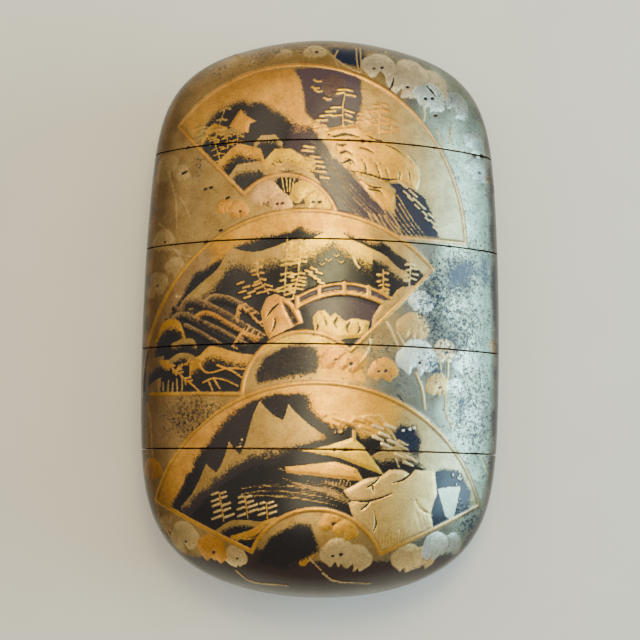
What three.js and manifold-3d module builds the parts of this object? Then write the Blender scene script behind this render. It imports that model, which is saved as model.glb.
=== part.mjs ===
// A four-case inro: a small lacquered container that hung from a sash by a cord. It is a stack of five loose pieces along
// its length, a lid, three trays and a base, and it lies on its back. Each tray and the base end in a collar that slides
// into the recess of the piece above, and two cord channels run through every piece, outside the collars.
// Lengths are in millimetres. X is the width, +Y runs from the base to the lid, and +Z is up, out of the decorated face.

import * as THREE from "three";
import { mergeVertices } from "three/addons/utils/BufferGeometryUtils.js";
import Module from "manifold-3d";

const wasm = await Module();
wasm.setup();

// The outer form: an oval of two arcs at each level, which narrows to a low dome at both ends.
const LENGTH = 85;
const WIDTH = 54.4;
const DEPTH = 25;
const BARREL = 0.081; // how much the sides draw in from the widest level to the ends, as a share
const WIDEST_AT = -0.1; // the widest level, as a share of half the length
const SIDE_ROUNDNESS = 0.82; // the side arc's radius, as a share of the tip radius of an ellipse
const END_POWERS = {
  lid: { width: 8.1, depth: 9.7 },
  base: { width: 6.6, depth: 9.1 },
}; // a higher power gives a flatter end with a tighter shoulder
const REST_CUT = 0.12; // depth of the flat strip along the back, which keeps the piece from rocking

// The stack, from the base up.
const BASE_HEIGHT = 21.55;
const TRAY_HEIGHTS = [15.1, 15.35, 14.7];
const SEAM = 0.3; // the gap between two pieces

// Walls and collars.
const SKIRT = 1.3; // wall outside a recess, front and back
const FIT = 0.3; // room between a collar and its recess
const COLLAR_WALL = 1;
const COLLAR_HEIGHT = 4;
const RECESS_SPARE = 0.4; // recess depth beyond the collar's height
const FLOOR = 1.3;
const END_WALL = 2.6; // wall of the lid's and the base's domes
const CHANNEL_STOCK = 4; // extra width of solid wall at each side, which carries the cord channel
const CHANNEL_RADIUS = 1.2;
const CHANNEL_X = 23.4;

// Facets.
const SIDE_STEPS = 8; // steps round each side arc
const FACE_STEPS = 20; // steps across the front, and across the back
const CHANNEL_SIDES = 16;
const DOME_RINGS = 11;
const INNER_DOME_RINGS = 7;
const TRAY_RINGS = 3;

const RECESS_DEPTH = COLLAR_HEIGHT + RECESS_SPARE;
const COLLAR_INSET = SKIRT + FIT;
const COMPARTMENT_INSET = COLLAR_INSET + COLLAR_WALL;
const TURN_STEPS = 2 * (SIDE_STEPS + FACE_STEPS);

const gold = { color: 0xb08a45, roughness: 0.38, metalness: 0.85 };

// The oval's half width and half depth at level y, for a form set in by wall (front, back and ends) and side (each side).
function section(y, wall = 0, side = wall) {
  const t = y / (LENGTH / 2 - wall);
  const powers = y > 0 ? END_POWERS.lid : END_POWERS.base;
  const closing = (power) => Math.sqrt(Math.max(0, 1 - Math.abs(t) ** power));
  return {
    halfWidth: (WIDTH / 2 - side) * (1 - BARREL * (t - WIDEST_AT) ** 2) * closing(powers.width),
    halfDepth: (DEPTH / 2 - wall) * closing(powers.depth),
  };
}

// A ring: one oval of the body's surface, at level y.
const ring = (y, { halfWidth, halfDepth }) => ({ y, halfWidth, halfDepth });
const outerRing = (y) => ring(y, section(y));

// A prism's section, set in from the outer form at a seam, so that the collar there slides straight out.
function seamSection(seamY, inset) {
  const { halfWidth, halfDepth } = section(seamY);
  return { halfWidth: halfWidth - inset - CHANNEL_STOCK, halfDepth: halfDepth - inset };
}

// A compartment's section at level y: the seam's prism, held inside the dome wall.
function compartmentSection(y, prism) {
  const dome = section(y, END_WALL, END_WALL + CHANNEL_STOCK);
  return {
    halfWidth: Math.min(prism.halfWidth, dome.halfWidth),
    halfDepth: Math.min(prism.halfDepth, dome.halfDepth),
  };
}

// The point of an oval after a number of steps round it, from the middle of the +X side and by way of the back. A small
// arc rounds each side and a large one, tangent to it, makes the front or the back.
function ovalPoint({ halfWidth, halfDepth }, step) {
  const sideRadius = (SIDE_ROUNDNESS * halfDepth ** 2) / halfWidth;
  const faceRadius =
    ((halfWidth - sideRadius) ** 2 + halfDepth ** 2 - sideRadius ** 2) / (2 * (halfDepth - sideRadius));
  const meeting = Math.atan2(faceRadius - halfDepth, halfWidth - sideRadius); // where the arcs meet
  const quarter = TURN_STEPS / 4;
  const half = step % (2 * quarter);
  const fromSide = Math.min(half, 2 * quarter - half);
  const sideShare = (2 * fromSide) / SIDE_STEPS;
  const faceShare = (2 * fromSide - SIDE_STEPS) / FACE_STEPS;
  const onSide = sideShare <= 1;
  const angle = onSide ? meeting * sideShare : meeting + (Math.PI / 2 - meeting) * faceShare;
  const radius = onSide ? sideRadius : faceRadius;
  const x = (onSide ? halfWidth - sideRadius : 0) + radius * Math.cos(angle);
  const z = (onSide ? 0 : halfDepth - faceRadius) + radius * Math.sin(angle);
  const left = step > quarter && step < 3 * quarter;
  const below = step < 2 * quarter;
  return { x: left ? -x : x, z: below ? -z : z };
}

// A solid of ovals: a lathe round the Y axis whose rings are then pressed into their ovals. Its profile runs from startY
// on the axis through every ring to endY on the axis.
function ovalSolid(startY, rings, endY) {
  const profile = [
    new THREE.Vector2(0, startY),
    ...rings.map(({ y }) => new THREE.Vector2(1, y)),
    new THREE.Vector2(0, endY),
  ];
  const lathe = new THREE.LatheGeometry(profile, TURN_STEPS);
  const position = lathe.getAttribute("position");
  for (let i = 0; i < position.count; i++) {
    const onRing = rings[(i % profile.length) - 1];
    if (!onRing) {
      position.setXYZ(i, 0, position.getY(i), 0);
      continue;
    }
    const step = Math.floor(i / profile.length) % TURN_STEPS;
    const { x, z } = ovalPoint(onRing, step);
    position.setXYZ(i, x, onRing.y, Math.max(z, REST_CUT - DEPTH / 2));
  }
  return solidOf(lathe);
}

// A closed geometry as a manifold-3d solid.
function solidOf(geometry) {
  geometry.deleteAttribute("normal");
  geometry.deleteAttribute("uv");
  const merged = mergeVertices(geometry, 1e-4);
  const triVerts = new Uint32Array(merged.index.array);
  return new wasm.Manifold(
    new wasm.Mesh({ numProp: 3, vertProperties: merged.getAttribute("position").array, triVerts }),
  );
}

// Levels from start to end, evenly spaced.
function evenLevels(start, end, count) {
  return Array.from({ length: count }, (_, i) => start + ((end - start) * i) / (count - 1));
}

// Levels from start towards a dome's tip at end, closer together near the tip and stopping short of it.
function domeLevels(start, end, count) {
  return Array.from({ length: count }, (_, i) => start + (end - start) * Math.sin((Math.PI / 2) * (i / count)));
}

// The rings of a recess, from its ceiling down to the rim at rimY.
function recessRings(rimY, seamY) {
  const recess = seamSection(seamY, SKIRT);
  return [ring(rimY + RECESS_DEPTH, recess), ring(rimY, recess)];
}

// The rings of a collar, from the shoulder up its outside and over its edge.
function collarRings(shoulderY, seamY) {
  const outside = seamSection(seamY, COLLAR_INSET);
  const inside = seamSection(seamY, COMPARTMENT_INSET);
  const top = shoulderY + COLLAR_HEIGHT;
  return [ring(shoulderY, outside), ring(top, outside), ring(top, inside)];
}

function lid(seamY) {
  const rimY = seamY + SEAM / 2;
  const tip = LENGTH / 2;
  const ceiling = tip - END_WALL;
  const prism = seamSection(seamY, COMPARTMENT_INSET);
  const dome = domeLevels(rimY + RECESS_DEPTH, ceiling, INNER_DOME_RINGS).reverse();
  return ovalSolid(
    ceiling,
    [
      ...dome.map((y) => ring(y, compartmentSection(y, prism))),
      ...recessRings(rimY, seamY),
      ...domeLevels(rimY, tip, DOME_RINGS).map(outerRing),
    ],
    tip,
  );
}

function tray(lowerSeamY, upperSeamY) {
  const rimY = lowerSeamY + SEAM / 2;
  const shoulderY = upperSeamY - SEAM / 2;
  const floorY = rimY + RECESS_DEPTH + FLOOR;
  return ovalSolid(
    rimY + RECESS_DEPTH,
    [
      ...recessRings(rimY, lowerSeamY),
      ...evenLevels(rimY, shoulderY, TRAY_RINGS).map(outerRing),
      ...collarRings(shoulderY, upperSeamY),
      ring(floorY, seamSection(upperSeamY, COMPARTMENT_INSET)),
    ],
    floorY,
  );
}

function base(seamY) {
  const shoulderY = seamY - SEAM / 2;
  const tip = -LENGTH / 2;
  const floorY = tip + END_WALL;
  const prism = seamSection(seamY, COMPARTMENT_INSET);
  return ovalSolid(
    tip,
    [
      ...domeLevels(shoulderY, tip, DOME_RINGS).reverse().map(outerRing),
      ...collarRings(shoulderY, seamY),
      ...domeLevels(shoulderY, floorY, INNER_DOME_RINGS).map((y) => ring(y, compartmentSection(y, prism))),
    ],
    floorY,
  );
}

// The piece without the two cord channels.
function channelled(solid) {
  const channel = new THREE.CylinderGeometry(CHANNEL_RADIUS, CHANNEL_RADIUS, 2 * LENGTH, CHANNEL_SIDES);
  return [-CHANNEL_X, CHANNEL_X].reduce(
    (left, x) => left.subtract(solidOf(channel.clone().translate(x, 0, 0))),
    solid,
  );
}

function mesh(name, solid) {
  const { numProp, numVert, vertProperties, triVerts } = channelled(solid).getMesh();
  const points = Array.from({ length: numVert }, (_, i) => [...vertProperties.slice(i * numProp, i * numProp + 3)]);
  const geometry = new THREE.BufferGeometry()
    .setAttribute("position", new THREE.Float32BufferAttribute(points.flat(), 3))
    .setIndex([...triVerts]);
  geometry.computeVertexNormals();
  const made = new THREE.Mesh(geometry, new THREE.MeshStandardMaterial(gold));
  made.name = name;
  return made;
}

// Seams from the base up.
const seams = TRAY_HEIGHTS.reduce((levels, height) => [...levels, levels.at(-1) + height], [BASE_HEIGHT - LENGTH / 2]);

const inro = new THREE.Group();
inro.add(mesh("base", base(seams[0])));
TRAY_HEIGHTS.forEach((_, i) => {
  inro.add(mesh(`tray_${TRAY_HEIGHTS.length - i}`, tray(seams[i], seams[i + 1])));
});
inro.add(mesh("lid", lid(seams.at(-1))));
inro.position.z = DEPTH / 2 - REST_CUT; // the flat strip lies at Z = 0

export default inro;
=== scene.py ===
"""The finished surfaces of a four-case inro that lies on its back: gold and brown-black lacquer, with
landscapes in three open fans and blossoms round them. Each CAD piece is replaced by a fine mesh of the same
form. The painting is a set of values on its vertices, and the raised lacquer is real relief. Lengths are in
millimetres until a mesh is made."""

import math

import bpy
import numpy as np
from mathutils import Euler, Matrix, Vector


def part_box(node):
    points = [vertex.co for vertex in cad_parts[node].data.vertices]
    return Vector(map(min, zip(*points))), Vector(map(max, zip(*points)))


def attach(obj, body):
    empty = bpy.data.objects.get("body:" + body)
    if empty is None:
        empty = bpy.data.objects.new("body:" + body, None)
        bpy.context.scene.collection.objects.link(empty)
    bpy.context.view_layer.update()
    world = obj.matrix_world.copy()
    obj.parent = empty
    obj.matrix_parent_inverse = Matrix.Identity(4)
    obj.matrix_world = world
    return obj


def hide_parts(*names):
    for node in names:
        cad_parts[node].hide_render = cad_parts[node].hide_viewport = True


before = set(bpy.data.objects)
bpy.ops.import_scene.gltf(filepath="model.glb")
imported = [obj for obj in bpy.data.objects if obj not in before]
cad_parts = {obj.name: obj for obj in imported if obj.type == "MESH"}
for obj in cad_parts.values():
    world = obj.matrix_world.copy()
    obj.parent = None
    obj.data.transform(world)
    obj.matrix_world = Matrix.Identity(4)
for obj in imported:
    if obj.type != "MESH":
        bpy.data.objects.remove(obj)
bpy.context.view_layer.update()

MM = 0.001
BODY = "root"
SLOT = "gold_lacquer"

# ----------------------------------------------------------------------
# The form: an oval of two arcs at each level, as in the frame.

PIECES = ("base", "tray_3", "tray_2", "tray_1", "lid")  # from the base up
LENGTH = (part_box("lid")[1].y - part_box("base")[0].y) / MM
WIDTH = 54.4
DEPTH = 25.0  # before the back is cut flat
MIDDLE_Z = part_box("tray_2")[1].z / MM - DEPTH / 2
BARREL = 0.081
WIDEST_AT = -0.1
SIDE_ROUNDNESS = 0.82
LID_POWERS = (8.1, 9.7)
BASE_POWERS = (6.6, 9.1)

SEAM = 0.3
SHOWN_SEAM = 0.17  # lacquer and dust have narrowed it
SKIRT = 1.3
COLLAR_INSET = 1.6
COLLAR_WALL = 1.0
COLLAR_HEIGHT = 4.0
RECESS_DEPTH = 4.4
FLOOR = 1.3
END_WALL = 2.6
CHANNEL_STOCK = 4.0
CHANNEL_RADIUS = 1.2
CHANNEL_X = 23.4
COMPARTMENT_INSET = COLLAR_INSET + COLLAR_WALL
SEAMS = [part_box(name)[0].y / MM - SEAM / 2 for name in PIECES[1:]]

# Mesh steps: fine on the front, where the painting is finest.
FRONT_STEPS = 344
BACK_STEPS = 200
FRONT_SIDE_STEPS = 20
BACK_SIDE_STEPS = 12
RING_STEP = 0.165
DOME_HEIGHT = 6.0  # the last stretch before each tip, where the rings follow the curve instead
DOME_RINGS = 44
INNER_DOME_RINGS = 9
CHANNEL_SIDES = 40
WORN_EDGE = 0.08  # how far wear has rounded the rims
WORN_STEP = 0.3 * WORN_EDGE  # from a rim to the first level inside it
SHARPEST_SMOOTH = 50  # degrees, past which an edge is shaded sharp


def section(y, wall=0.0, side=None):
    """The oval's half width and half depth at level y, set in by wall, or at the two sides by side."""
    side = wall if side is None else side
    t = y / (LENGTH / 2 - wall)
    in_lid_half = np.asarray(y) > 0
    width_power = np.where(in_lid_half, LID_POWERS[0], BASE_POWERS[0])
    depth_power = np.where(in_lid_half, LID_POWERS[1], BASE_POWERS[1])
    half_width = (WIDTH / 2 - side) * (1 - BARREL * (t - WIDEST_AT) ** 2)
    half_width = half_width * np.sqrt(np.maximum(0, 1 - np.abs(t) ** width_power))
    half_depth = (DEPTH / 2 - wall) * np.sqrt(np.maximum(0, 1 - np.abs(t) ** depth_power))
    return half_width, half_depth


def arcs(half_width, half_depth):
    """An oval's side radius, its face radius, and the direction in which the two arcs meet."""
    side_radius = SIDE_ROUNDNESS * half_depth**2 / half_width
    reach = half_width - side_radius
    face_radius = (reach**2 + half_depth**2 - side_radius**2) / (2 * (half_depth - side_radius))
    return side_radius, face_radius, np.arctan2(face_radius - half_depth, reach)


def quarter_oval(half_width, half_depth, face_steps, side_steps):
    """Points from the middle of a face to the middle of a side, one row for each ring, without the last."""
    half_width, half_depth = half_width[:, None], half_depth[:, None]
    side_radius, face_radius, meeting = arcs(half_width, half_depth)
    face = math.pi / 2 - (math.pi / 2 - meeting) * np.arange(face_steps) / face_steps
    side = meeting * (1 - np.arange(side_steps) / side_steps)
    x = np.hstack([face_radius * np.cos(face), half_width - side_radius + side_radius * np.cos(side)])
    z = np.hstack([half_depth - face_radius + face_radius * np.sin(face), side_radius * np.sin(side)])
    return x, z


def whole_oval(half_width, half_depth):
    """The rings' points all the way round, from the middle of the front by way of the +X side."""
    front_x, front_z = quarter_oval(half_width, half_depth, FRONT_STEPS // 2, FRONT_SIDE_STEPS)
    back_x, back_z = quarter_oval(half_width, half_depth, BACK_STEPS // 2, BACK_SIDE_STEPS)
    tip_x, tip_z = half_width[:, None], np.zeros((len(half_width), 1))
    right_x = np.hstack([front_x, tip_x, back_x[:, :0:-1]])
    right_z = np.hstack([front_z, tip_z, -back_z[:, :0:-1]])
    left_x = -np.hstack([back_x, tip_x, front_x[:, :0:-1]])
    left_z = np.hstack([-back_z, tip_z, front_z[:, :0:-1]])
    return np.hstack([right_x, left_x]), np.hstack([right_z, left_z])


def oval_solid(start_y, rings, end_y):
    """Vertices and faces of a closed solid of ovals, from rings of (y, half width, half depth)."""
    y, half_width, half_depth = (np.array(column, float) for column in zip(*rings))
    x, z = whole_oval(half_width, half_depth)
    z = np.maximum(z, -MIDDLE_Z)  # the flat strip along the back
    count, steps = x.shape
    body = np.stack([x, np.repeat(y[:, None], steps, axis=1), z], axis=-1).reshape(-1, 3)
    vertices = np.vstack([body, [0, start_y, 0], [0, end_y, 0]]) + [0, 0, MIDDLE_Z]
    here = np.arange(steps)
    beyond = (here + 1) % steps
    row = np.arange(count - 1)[:, None] * steps
    corners = [row + here, row + beyond, row + steps + beyond, row + steps + here]
    quads = np.stack(corners, axis=-1).reshape(-1, 4)
    start_fan = np.stack([beyond, here, np.full(steps, count * steps)], axis=-1)
    last = (count - 1) * steps
    end_fan = np.stack([last + here, last + beyond, np.full(steps, count * steps + 1)], axis=-1)
    return vertices, [*quads.tolist(), *start_fan.tolist(), *end_fan.tolist()]


# ----------------------------------------------------------------------
# The pieces' profiles.


def seam_section(seam_y, inset):
    half_width, half_depth = section(seam_y)
    return float(half_width) - inset - CHANNEL_STOCK, float(half_depth) - inset


def outer_rings(levels, worn_start, worn_end):
    """Rings of the outside. The first or last is drawn in a little where wear has rounded a rim."""
    rings = [(y, *map(float, section(y))) for y in levels]
    first, last = rings[0], rings[-1]
    if worn_start:
        rings[0] = (first[0], first[1] - WORN_EDGE, first[2] - WORN_EDGE)
    if worn_end:
        rings[-1] = (last[0], last[1] - WORN_EDGE, last[2] - WORN_EDGE)
    return rings


def side_levels(start, end):
    """Levels across a piece, with two more at each rim for its worn edge."""
    rim = [0, WORN_STEP, WORN_EDGE]
    inner = np.linspace(start + 2 * WORN_EDGE, end - 2 * WORN_EDGE, round((end - start) / RING_STEP))
    return [*(start + np.array(rim)), *inner, *(end - np.array(rim[::-1]))]


def dome_levels(start, tip):
    """Levels from a rim to a dome's tip: even at first, then closer as the surface turns over the end."""
    turn = tip - math.copysign(DOME_HEIGHT, tip)
    straight = np.linspace(start, turn, round(abs(turn - start) / RING_STEP), endpoint=False)
    curved = turn + (tip - turn) * np.sin(np.linspace(0, math.pi / 2, DOME_RINGS, endpoint=False))
    return [start, start + math.copysign(WORN_STEP, tip), *straight[1:], *curved]


def compartment_ring(y, prism):
    dome = section(y, END_WALL, END_WALL + CHANNEL_STOCK)
    return (y, min(prism[0], float(dome[0])), min(prism[1], float(dome[1])))


def recess_rings(rim_y, seam_y):
    recess = seam_section(seam_y, SKIRT)
    return [(rim_y + RECESS_DEPTH, *recess), (rim_y, *recess)]


def collar_rings(shoulder_y, seam_y):
    outside = seam_section(seam_y, COLLAR_INSET)
    inside = seam_section(seam_y, COMPARTMENT_INSET)
    top = shoulder_y + COLLAR_HEIGHT
    return [(shoulder_y, *outside), (top, *outside), (top, *inside)]


def inner_dome(start, end):
    return start + (end - start) * np.sin(np.linspace(0, math.pi / 2, INNER_DOME_RINGS, endpoint=False))


def lid_solid(seam_y):
    rim_y = seam_y + SHOWN_SEAM / 2
    ceiling = LENGTH / 2 - END_WALL
    prism = seam_section(seam_y, COMPARTMENT_INSET)
    hollow = [compartment_ring(y, prism) for y in inner_dome(rim_y + RECESS_DEPTH, ceiling)[::-1]]
    outside = outer_rings(dome_levels(rim_y, LENGTH / 2), True, False)
    return oval_solid(ceiling, hollow + recess_rings(rim_y, seam_y) + outside, LENGTH / 2)


def tray_solid(lower_seam, upper_seam):
    rim_y, shoulder_y = lower_seam + SHOWN_SEAM / 2, upper_seam - SHOWN_SEAM / 2
    floor_y = rim_y + RECESS_DEPTH + FLOOR
    outside = outer_rings(side_levels(rim_y, shoulder_y), True, True)
    floor_ring = (floor_y, *seam_section(upper_seam, COMPARTMENT_INSET))
    rings = recess_rings(rim_y, lower_seam) + outside + collar_rings(shoulder_y, upper_seam) + [floor_ring]
    return oval_solid(rim_y + RECESS_DEPTH, rings, floor_y)


def base_solid(seam_y):
    shoulder_y = seam_y - SHOWN_SEAM / 2
    floor_y = -LENGTH / 2 + END_WALL
    prism = seam_section(seam_y, COMPARTMENT_INSET)
    outside = outer_rings(dome_levels(shoulder_y, -LENGTH / 2)[::-1], False, True)
    hollow = [compartment_ring(y, prism) for y in inner_dome(shoulder_y, floor_y)]
    return oval_solid(-LENGTH / 2, outside + collar_rings(shoulder_y, seam_y) + hollow, floor_y)


# ----------------------------------------------------------------------
# The painting's colours, as linear values: powders of several alloys, and the lacquer under them.

GOLD = (0.93, 0.46, 0.045)
BRIGHT = (1.00, 0.60, 0.045)
ORANGE = (0.92, 0.42, 0.055)
OLIVE = (0.60, 0.37, 0.10)
BRONZE = (0.52, 0.30, 0.11)
PALE = (1.00, 0.70, 0.27)
GREY = (0.21, 0.205, 0.155)
# Silver, where it pales the right of the ground and of the fans, is a painted reflection of cool light.
SILVER = (0.56, 0.66, 0.50)
# Pearl: the pale green-silver of the blossoms on the right of the front, a painted reflection of cool light.
PEARL = (0.86, 0.96, 0.84)
DULL = (0.78, 0.50, 0.18)
CREAM = (1.00, 0.80, 0.46)
COPPER = (0.16, 0.095, 0.075)
HONEY = (1.00, 0.48, 0.075)
AMBER = (1.00, 0.56, 0.20)

BLACK = (0.008, 0.006, 0.007)
BROWN = (0.026, 0.013, 0.010)
PLUM = (0.066, 0.038, 0.046)
SOOT = (0.020, 0.014, 0.015)
BLUE = (0.004, 0.008, 0.026)
NAVY = (0.010, 0.021, 0.066)

EDGE = 0.16  # width over which a brushed edge fades, about one mesh step
BARE = 0.08  # the stray powder that is left on bare lacquer
random = np.random.default_rng(7)

# Odd numbers that scramble a lattice point into a random value.
SEED_FACTOR = 1013904223
AXIS_FACTORS = (73856093, 19349663, 83492791)
LATTICE_VALUES = 100003


def lattice_noise(points, size, seed=0):
    """Smooth noise from 0 to 1 with features of a size in mm, from random values on a lattice."""
    cell = np.asarray(points) / size
    base = np.floor(cell).astype(np.int64)
    part = cell - base
    part = part * part * (3 - 2 * part)
    total = np.zeros(len(cell))
    for corner in np.ndindex(*(2,) * cell.shape[1]):
        at = base + corner
        mixed = seed * SEED_FACTOR
        for axis, factor in zip(at.T, AXIS_FACTORS):
            mixed = mixed ^ (axis * factor)
        value = (np.sin((mixed % LATTICE_VALUES) * 12.9898) * 43758.5453) % 1
        total += value * np.prod(np.where(corner, part, 1 - part), axis=1)
    return total


def curve(points, steps=8):
    """A smooth curve through a few points, as a polyline."""
    points = np.array(points, float)
    padded = np.vstack([2 * points[0] - points[1], points, 2 * points[-1] - points[-2]])
    share = np.linspace(0, 1, steps, endpoint=False)[:, None]
    spans = []
    for before, start, end, after in zip(padded, padded[1:], padded[2:], padded[3:]):
        first, second = end - before, 2 * before - 5 * start + 4 * end - after
        third = after - before + 3 * (start - end)
        spans.append(start + 0.5 * share * (first + share * (second + share * third)))
    return np.vstack([*spans, points[-1:]])


def arc(centre, radius, start, end, steps=24):
    """Points on a circle, from start to end in degrees."""
    angle = np.radians(np.linspace(start, end, steps))
    return np.stack([centre[0] + radius * np.cos(angle), centre[1] + radius * np.sin(angle)], axis=1)


def to_line(spots, points):
    """Each spot's distance to a polyline, and how far along it the nearest place is, from 0 to 1."""
    points = np.asarray(points, float)
    best = np.full(len(spots), np.inf)
    along = np.zeros(len(spots))
    for i, (start, end) in enumerate(zip(points, points[1:])):
        span = end - start
        share = np.clip((spots - start) @ span / (span @ span + 1e-12), 0, 1)
        distance = np.hypot(*(spots - start - share[:, None] * span).T)
        nearer = distance < best
        best = np.where(nearer, distance, best)
        along = np.where(nearer, (i + share) / (len(points) - 1), along)
    return best, along


def to_outline(spots, points):
    """Each spot's distance to a closed outline, negative inside it."""
    closed = np.vstack([points, points[:1]])
    inside = np.zeros(len(spots), bool)
    for (u0, v0), (u1, v1) in zip(closed, closed[1:]):
        crosses = (v0 > spots[:, 1]) != (v1 > spots[:, 1])
        at = u0 + (spots[:, 1] - v0) * (u1 - u0) / (v1 - v0 if v1 != v0 else 1)
        inside ^= crosses & (spots[:, 0] < at)
    distance, _ = to_line(spots, closed)
    return np.where(inside, -distance, distance)


def ramp(value, start, width):
    """0 up to start, then a slope up to 1 over a width."""
    return np.clip((value - start) / width, 0, 1)


def covered(distance, edge=EDGE):
    """1 well inside a shape and 0 well outside it, from the distance to its outline."""
    return np.clip(0.5 - distance / edge, 0, 1)


# ----------------------------------------------------------------------
# The brush.


class Painting:
    """One face of the case, unrolled: a spot for each vertex, u across and v along, with what lies on it."""

    def __init__(self, spots):
        count = len(spots)
        self.spots = spots
        self.gold = np.zeros(count)  # how much of the lacquer the powder hides
        self.tone = np.tile(np.array(OLIVE), (count, 1))  # the powder's colour
        self.ground = np.tile(np.array(BLACK), (count, 1))  # the lacquer's colour
        self.relief = np.zeros(count)
        self.worn = np.zeros(count)  # how much of the powder wear has taken off
        self.window = np.ones(count)  # 0 where the brush is kept out

    def near(self, points, margin=1.0):
        """The spots round some points, which are all that a stroke can reach."""
        points = np.asarray(points, float).reshape(-1, 2)
        low, high = points.min(0) - margin, points.max(0) + margin
        return np.flatnonzero(((self.spots > low) & (self.spots < high)).all(1) & (self.window > 0))

    def lay(self, at, cover, gold=None, tone=None, ground=None, relief=None):
        """Covers spots with new values, wholly where cover is 1."""
        cover = cover * self.window[at]
        for field, value in ((self.gold, gold), (self.relief, relief)):
            if value is not None:
                field[at] += (value - field[at]) * cover
        for field, value in ((self.tone, tone), (self.ground, ground)):
            if value is not None:
                field[at] += (np.asarray(value) - field[at]) * cover[:, None]

    def stroke(self, points, width, tone=GOLD, gold=1.0, relief=0.05, taper=0.0):
        """A brushed line, thinner towards its end where it tapers."""
        at = self.near(points, width + EDGE)
        distance, along = to_line(self.spots[at], points)
        half = width / 2 * (1 - taper * along)
        self.lay(at, covered(distance - half), gold, tone, relief=relief)

    def scratch(self, points, width=0.14, gold=0.15, depth=-0.02):
        """A thin dark line cut through the powder."""
        at = self.near(points, width + EDGE)
        distance, along = to_line(self.spots[at], points)
        half = width / 2 * (1 - 0.5 * np.abs(2 * along - 1))
        self.lay(at, covered(distance - half), gold, ground=BLACK, relief=depth)

    def shape(self, outline, tone=GOLD, gold=1.0, relief=0.0, wobble=0.12, ground=None):
        """A filled outline with a slightly uneven edge."""
        outline = np.asarray(outline, float)
        at = self.near(outline, 0.5)
        distance = to_outline(self.spots[at], outline)
        distance = distance + wobble * (lattice_noise(self.spots[at], 0.7) - 0.5)
        raised = relief * np.clip(-distance / 0.5, 0, 1) if relief else None
        self.lay(at, covered(distance), gold, tone, ground, raised)

    def sprinkle(self, outline, tone=GOLD, gold=1.0, fade=1.0):
        """Powder shaken over an area, which thins out past its edge."""
        outline = np.asarray(outline, float)
        at = self.near(outline, 2 * fade)
        drift = 0.5 * fade * (lattice_noise(self.spots[at], 1.3) - 0.5)
        distance = to_outline(self.spots[at], outline) + drift
        dusting = gold * np.clip(0.5 - distance / (2 * fade), 0, 1)
        more = np.clip(dusting - self.gold[at], 0, 1)
        self.lay(at, (more > 0) * 1.0, self.gold[at] + more)
        self.lay(at, np.clip(2 * dusting, 0, 1), tone=tone)

    def darken(self, outline, fade=0.8, ground=BLACK, left=BARE):
        """Bare lacquer, which the powder round it drifts into."""
        outline = np.asarray(outline, float)
        at = self.near(outline, 2 * fade)
        drift = 0.5 * fade * (lattice_noise(self.spots[at], 1.1, seed=3) - 0.5)
        distance = to_outline(self.spots[at], outline) + drift
        bare = np.clip(0.5 - distance / (2 * fade), 0, 1)
        self.lay(at, bare, left, ground=ground, relief=0.0)

    def wear(self, centre, reach, amount):
        """A rubbed patch: an oval with soft edges."""
        at = self.near([np.subtract(centre, reach), np.add(centre, reach)])
        offset = (self.spots[at] - centre) / reach
        patch = amount * np.clip(1 - (offset**2).sum(1), 0, 1)
        self.worn[at] = np.maximum(self.worn[at], patch)


# ----------------------------------------------------------------------
# What is painted: hills, banks, rocks, trees, roofs, water, a bridge and blossoms.

RIDGE_FADE = 3.0  # mm over which a ridge's powder thins out
THATCH_STEP = 0.1375  # between a roof's lines, as a share of its depth
BRIDGE_POSTS = 5
BRIDGE_GAP = 1.4  # from the deck to the rail


def hill(p, crest, fade, tone=OLIVE, smooth=True):
    """A hill: powder is thick under its crest and thins out downwards."""
    crest = curve(crest, 6) if smooth else np.array(crest, float)
    at = p.near(np.vstack([crest, crest - [0, 3 * fade]]), EDGE)
    spots = p.spots[at]
    depth = np.interp(spots[:, 0], crest[:, 0], crest[:, 1]) - spots[:, 1]
    depth = depth + 0.08 * (lattice_noise(spots, 0.8) - 0.5)
    sides = np.maximum(crest[0, 0] - spots[:, 0], spots[:, 0] - crest[-1, 0])
    cover = covered(np.maximum(-depth, sides)) * np.clip(3 - depth / fade, 0, 1)
    powder = np.exp(-((np.maximum(depth, 0) / fade) ** 1.8))
    p.lay(at, cover, powder, tone, BLACK, 0.0)


def ridge(p, crest, foot):
    """A far ridge: a sharp skyline over powder that thins out towards a foot line."""
    crest, foot = np.array(crest, float), np.array(foot, float)
    at = p.near(np.vstack([crest, foot]), RIDGE_FADE)
    u, v = p.spots[at].T
    above = v - np.interp(u, *crest.T) + 0.06 * (lattice_noise(p.spots[at], 0.8) - 0.5)
    rise = v - np.interp(u, *foot.T) + 0.8 * (lattice_noise(p.spots[at], 1.4, seed=8) - 0.5)
    outside = np.maximum.reduce([above, crest[0, 0] - u, u - crest[-1, 0]])
    powder = np.clip(rise / RIDGE_FADE, 0, 1)
    p.lay(at, covered(outside) * (rise > -0.5), powder, OLIVE, SOOT, 0.0)


def bank(p, crest, thickness, tone=BRONZE, gold=0.6):
    """A long low bank of rock with a round nose: light along its upper edge and dark below."""
    crest = curve(crest, 6)
    at = p.near(crest, thickness + 0.5)
    distance, along = to_line(p.spots[at], crest)
    height = np.interp(p.spots[at][:, 0], crest[:, 0], crest[:, 1]) - p.spots[at][:, 1]
    below = np.where(height > 0, distance, -distance)
    depth = np.clip(below / thickness, 0, 1)
    cover = covered(np.maximum(-below, below - thickness)) * (along < 0.995)
    powder = gold * (1 - depth**1.5) * (1 - 0.3 * along)
    p.lay(at, cover, powder, tone, BLACK, 0.05 * np.sin(math.pi * depth))
    p.stroke(crest, 0.16, tone, gold + 0.2, relief=0.06)


def rock(p, outline, cracks, tone, relief=0.09):
    """A faceted rock in solid gold, with cracks that thin out at both ends."""
    p.shape(outline, tone, 0.97, relief)
    for crack in cracks:
        line = curve(crack, 5)
        p.scratch(line, 0.36, 0.05, 0.0)
        p.stroke(line + [0.18, -0.2], 0.16, BRIGHT, relief=relief + 0.02, taper=0.6)


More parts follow.
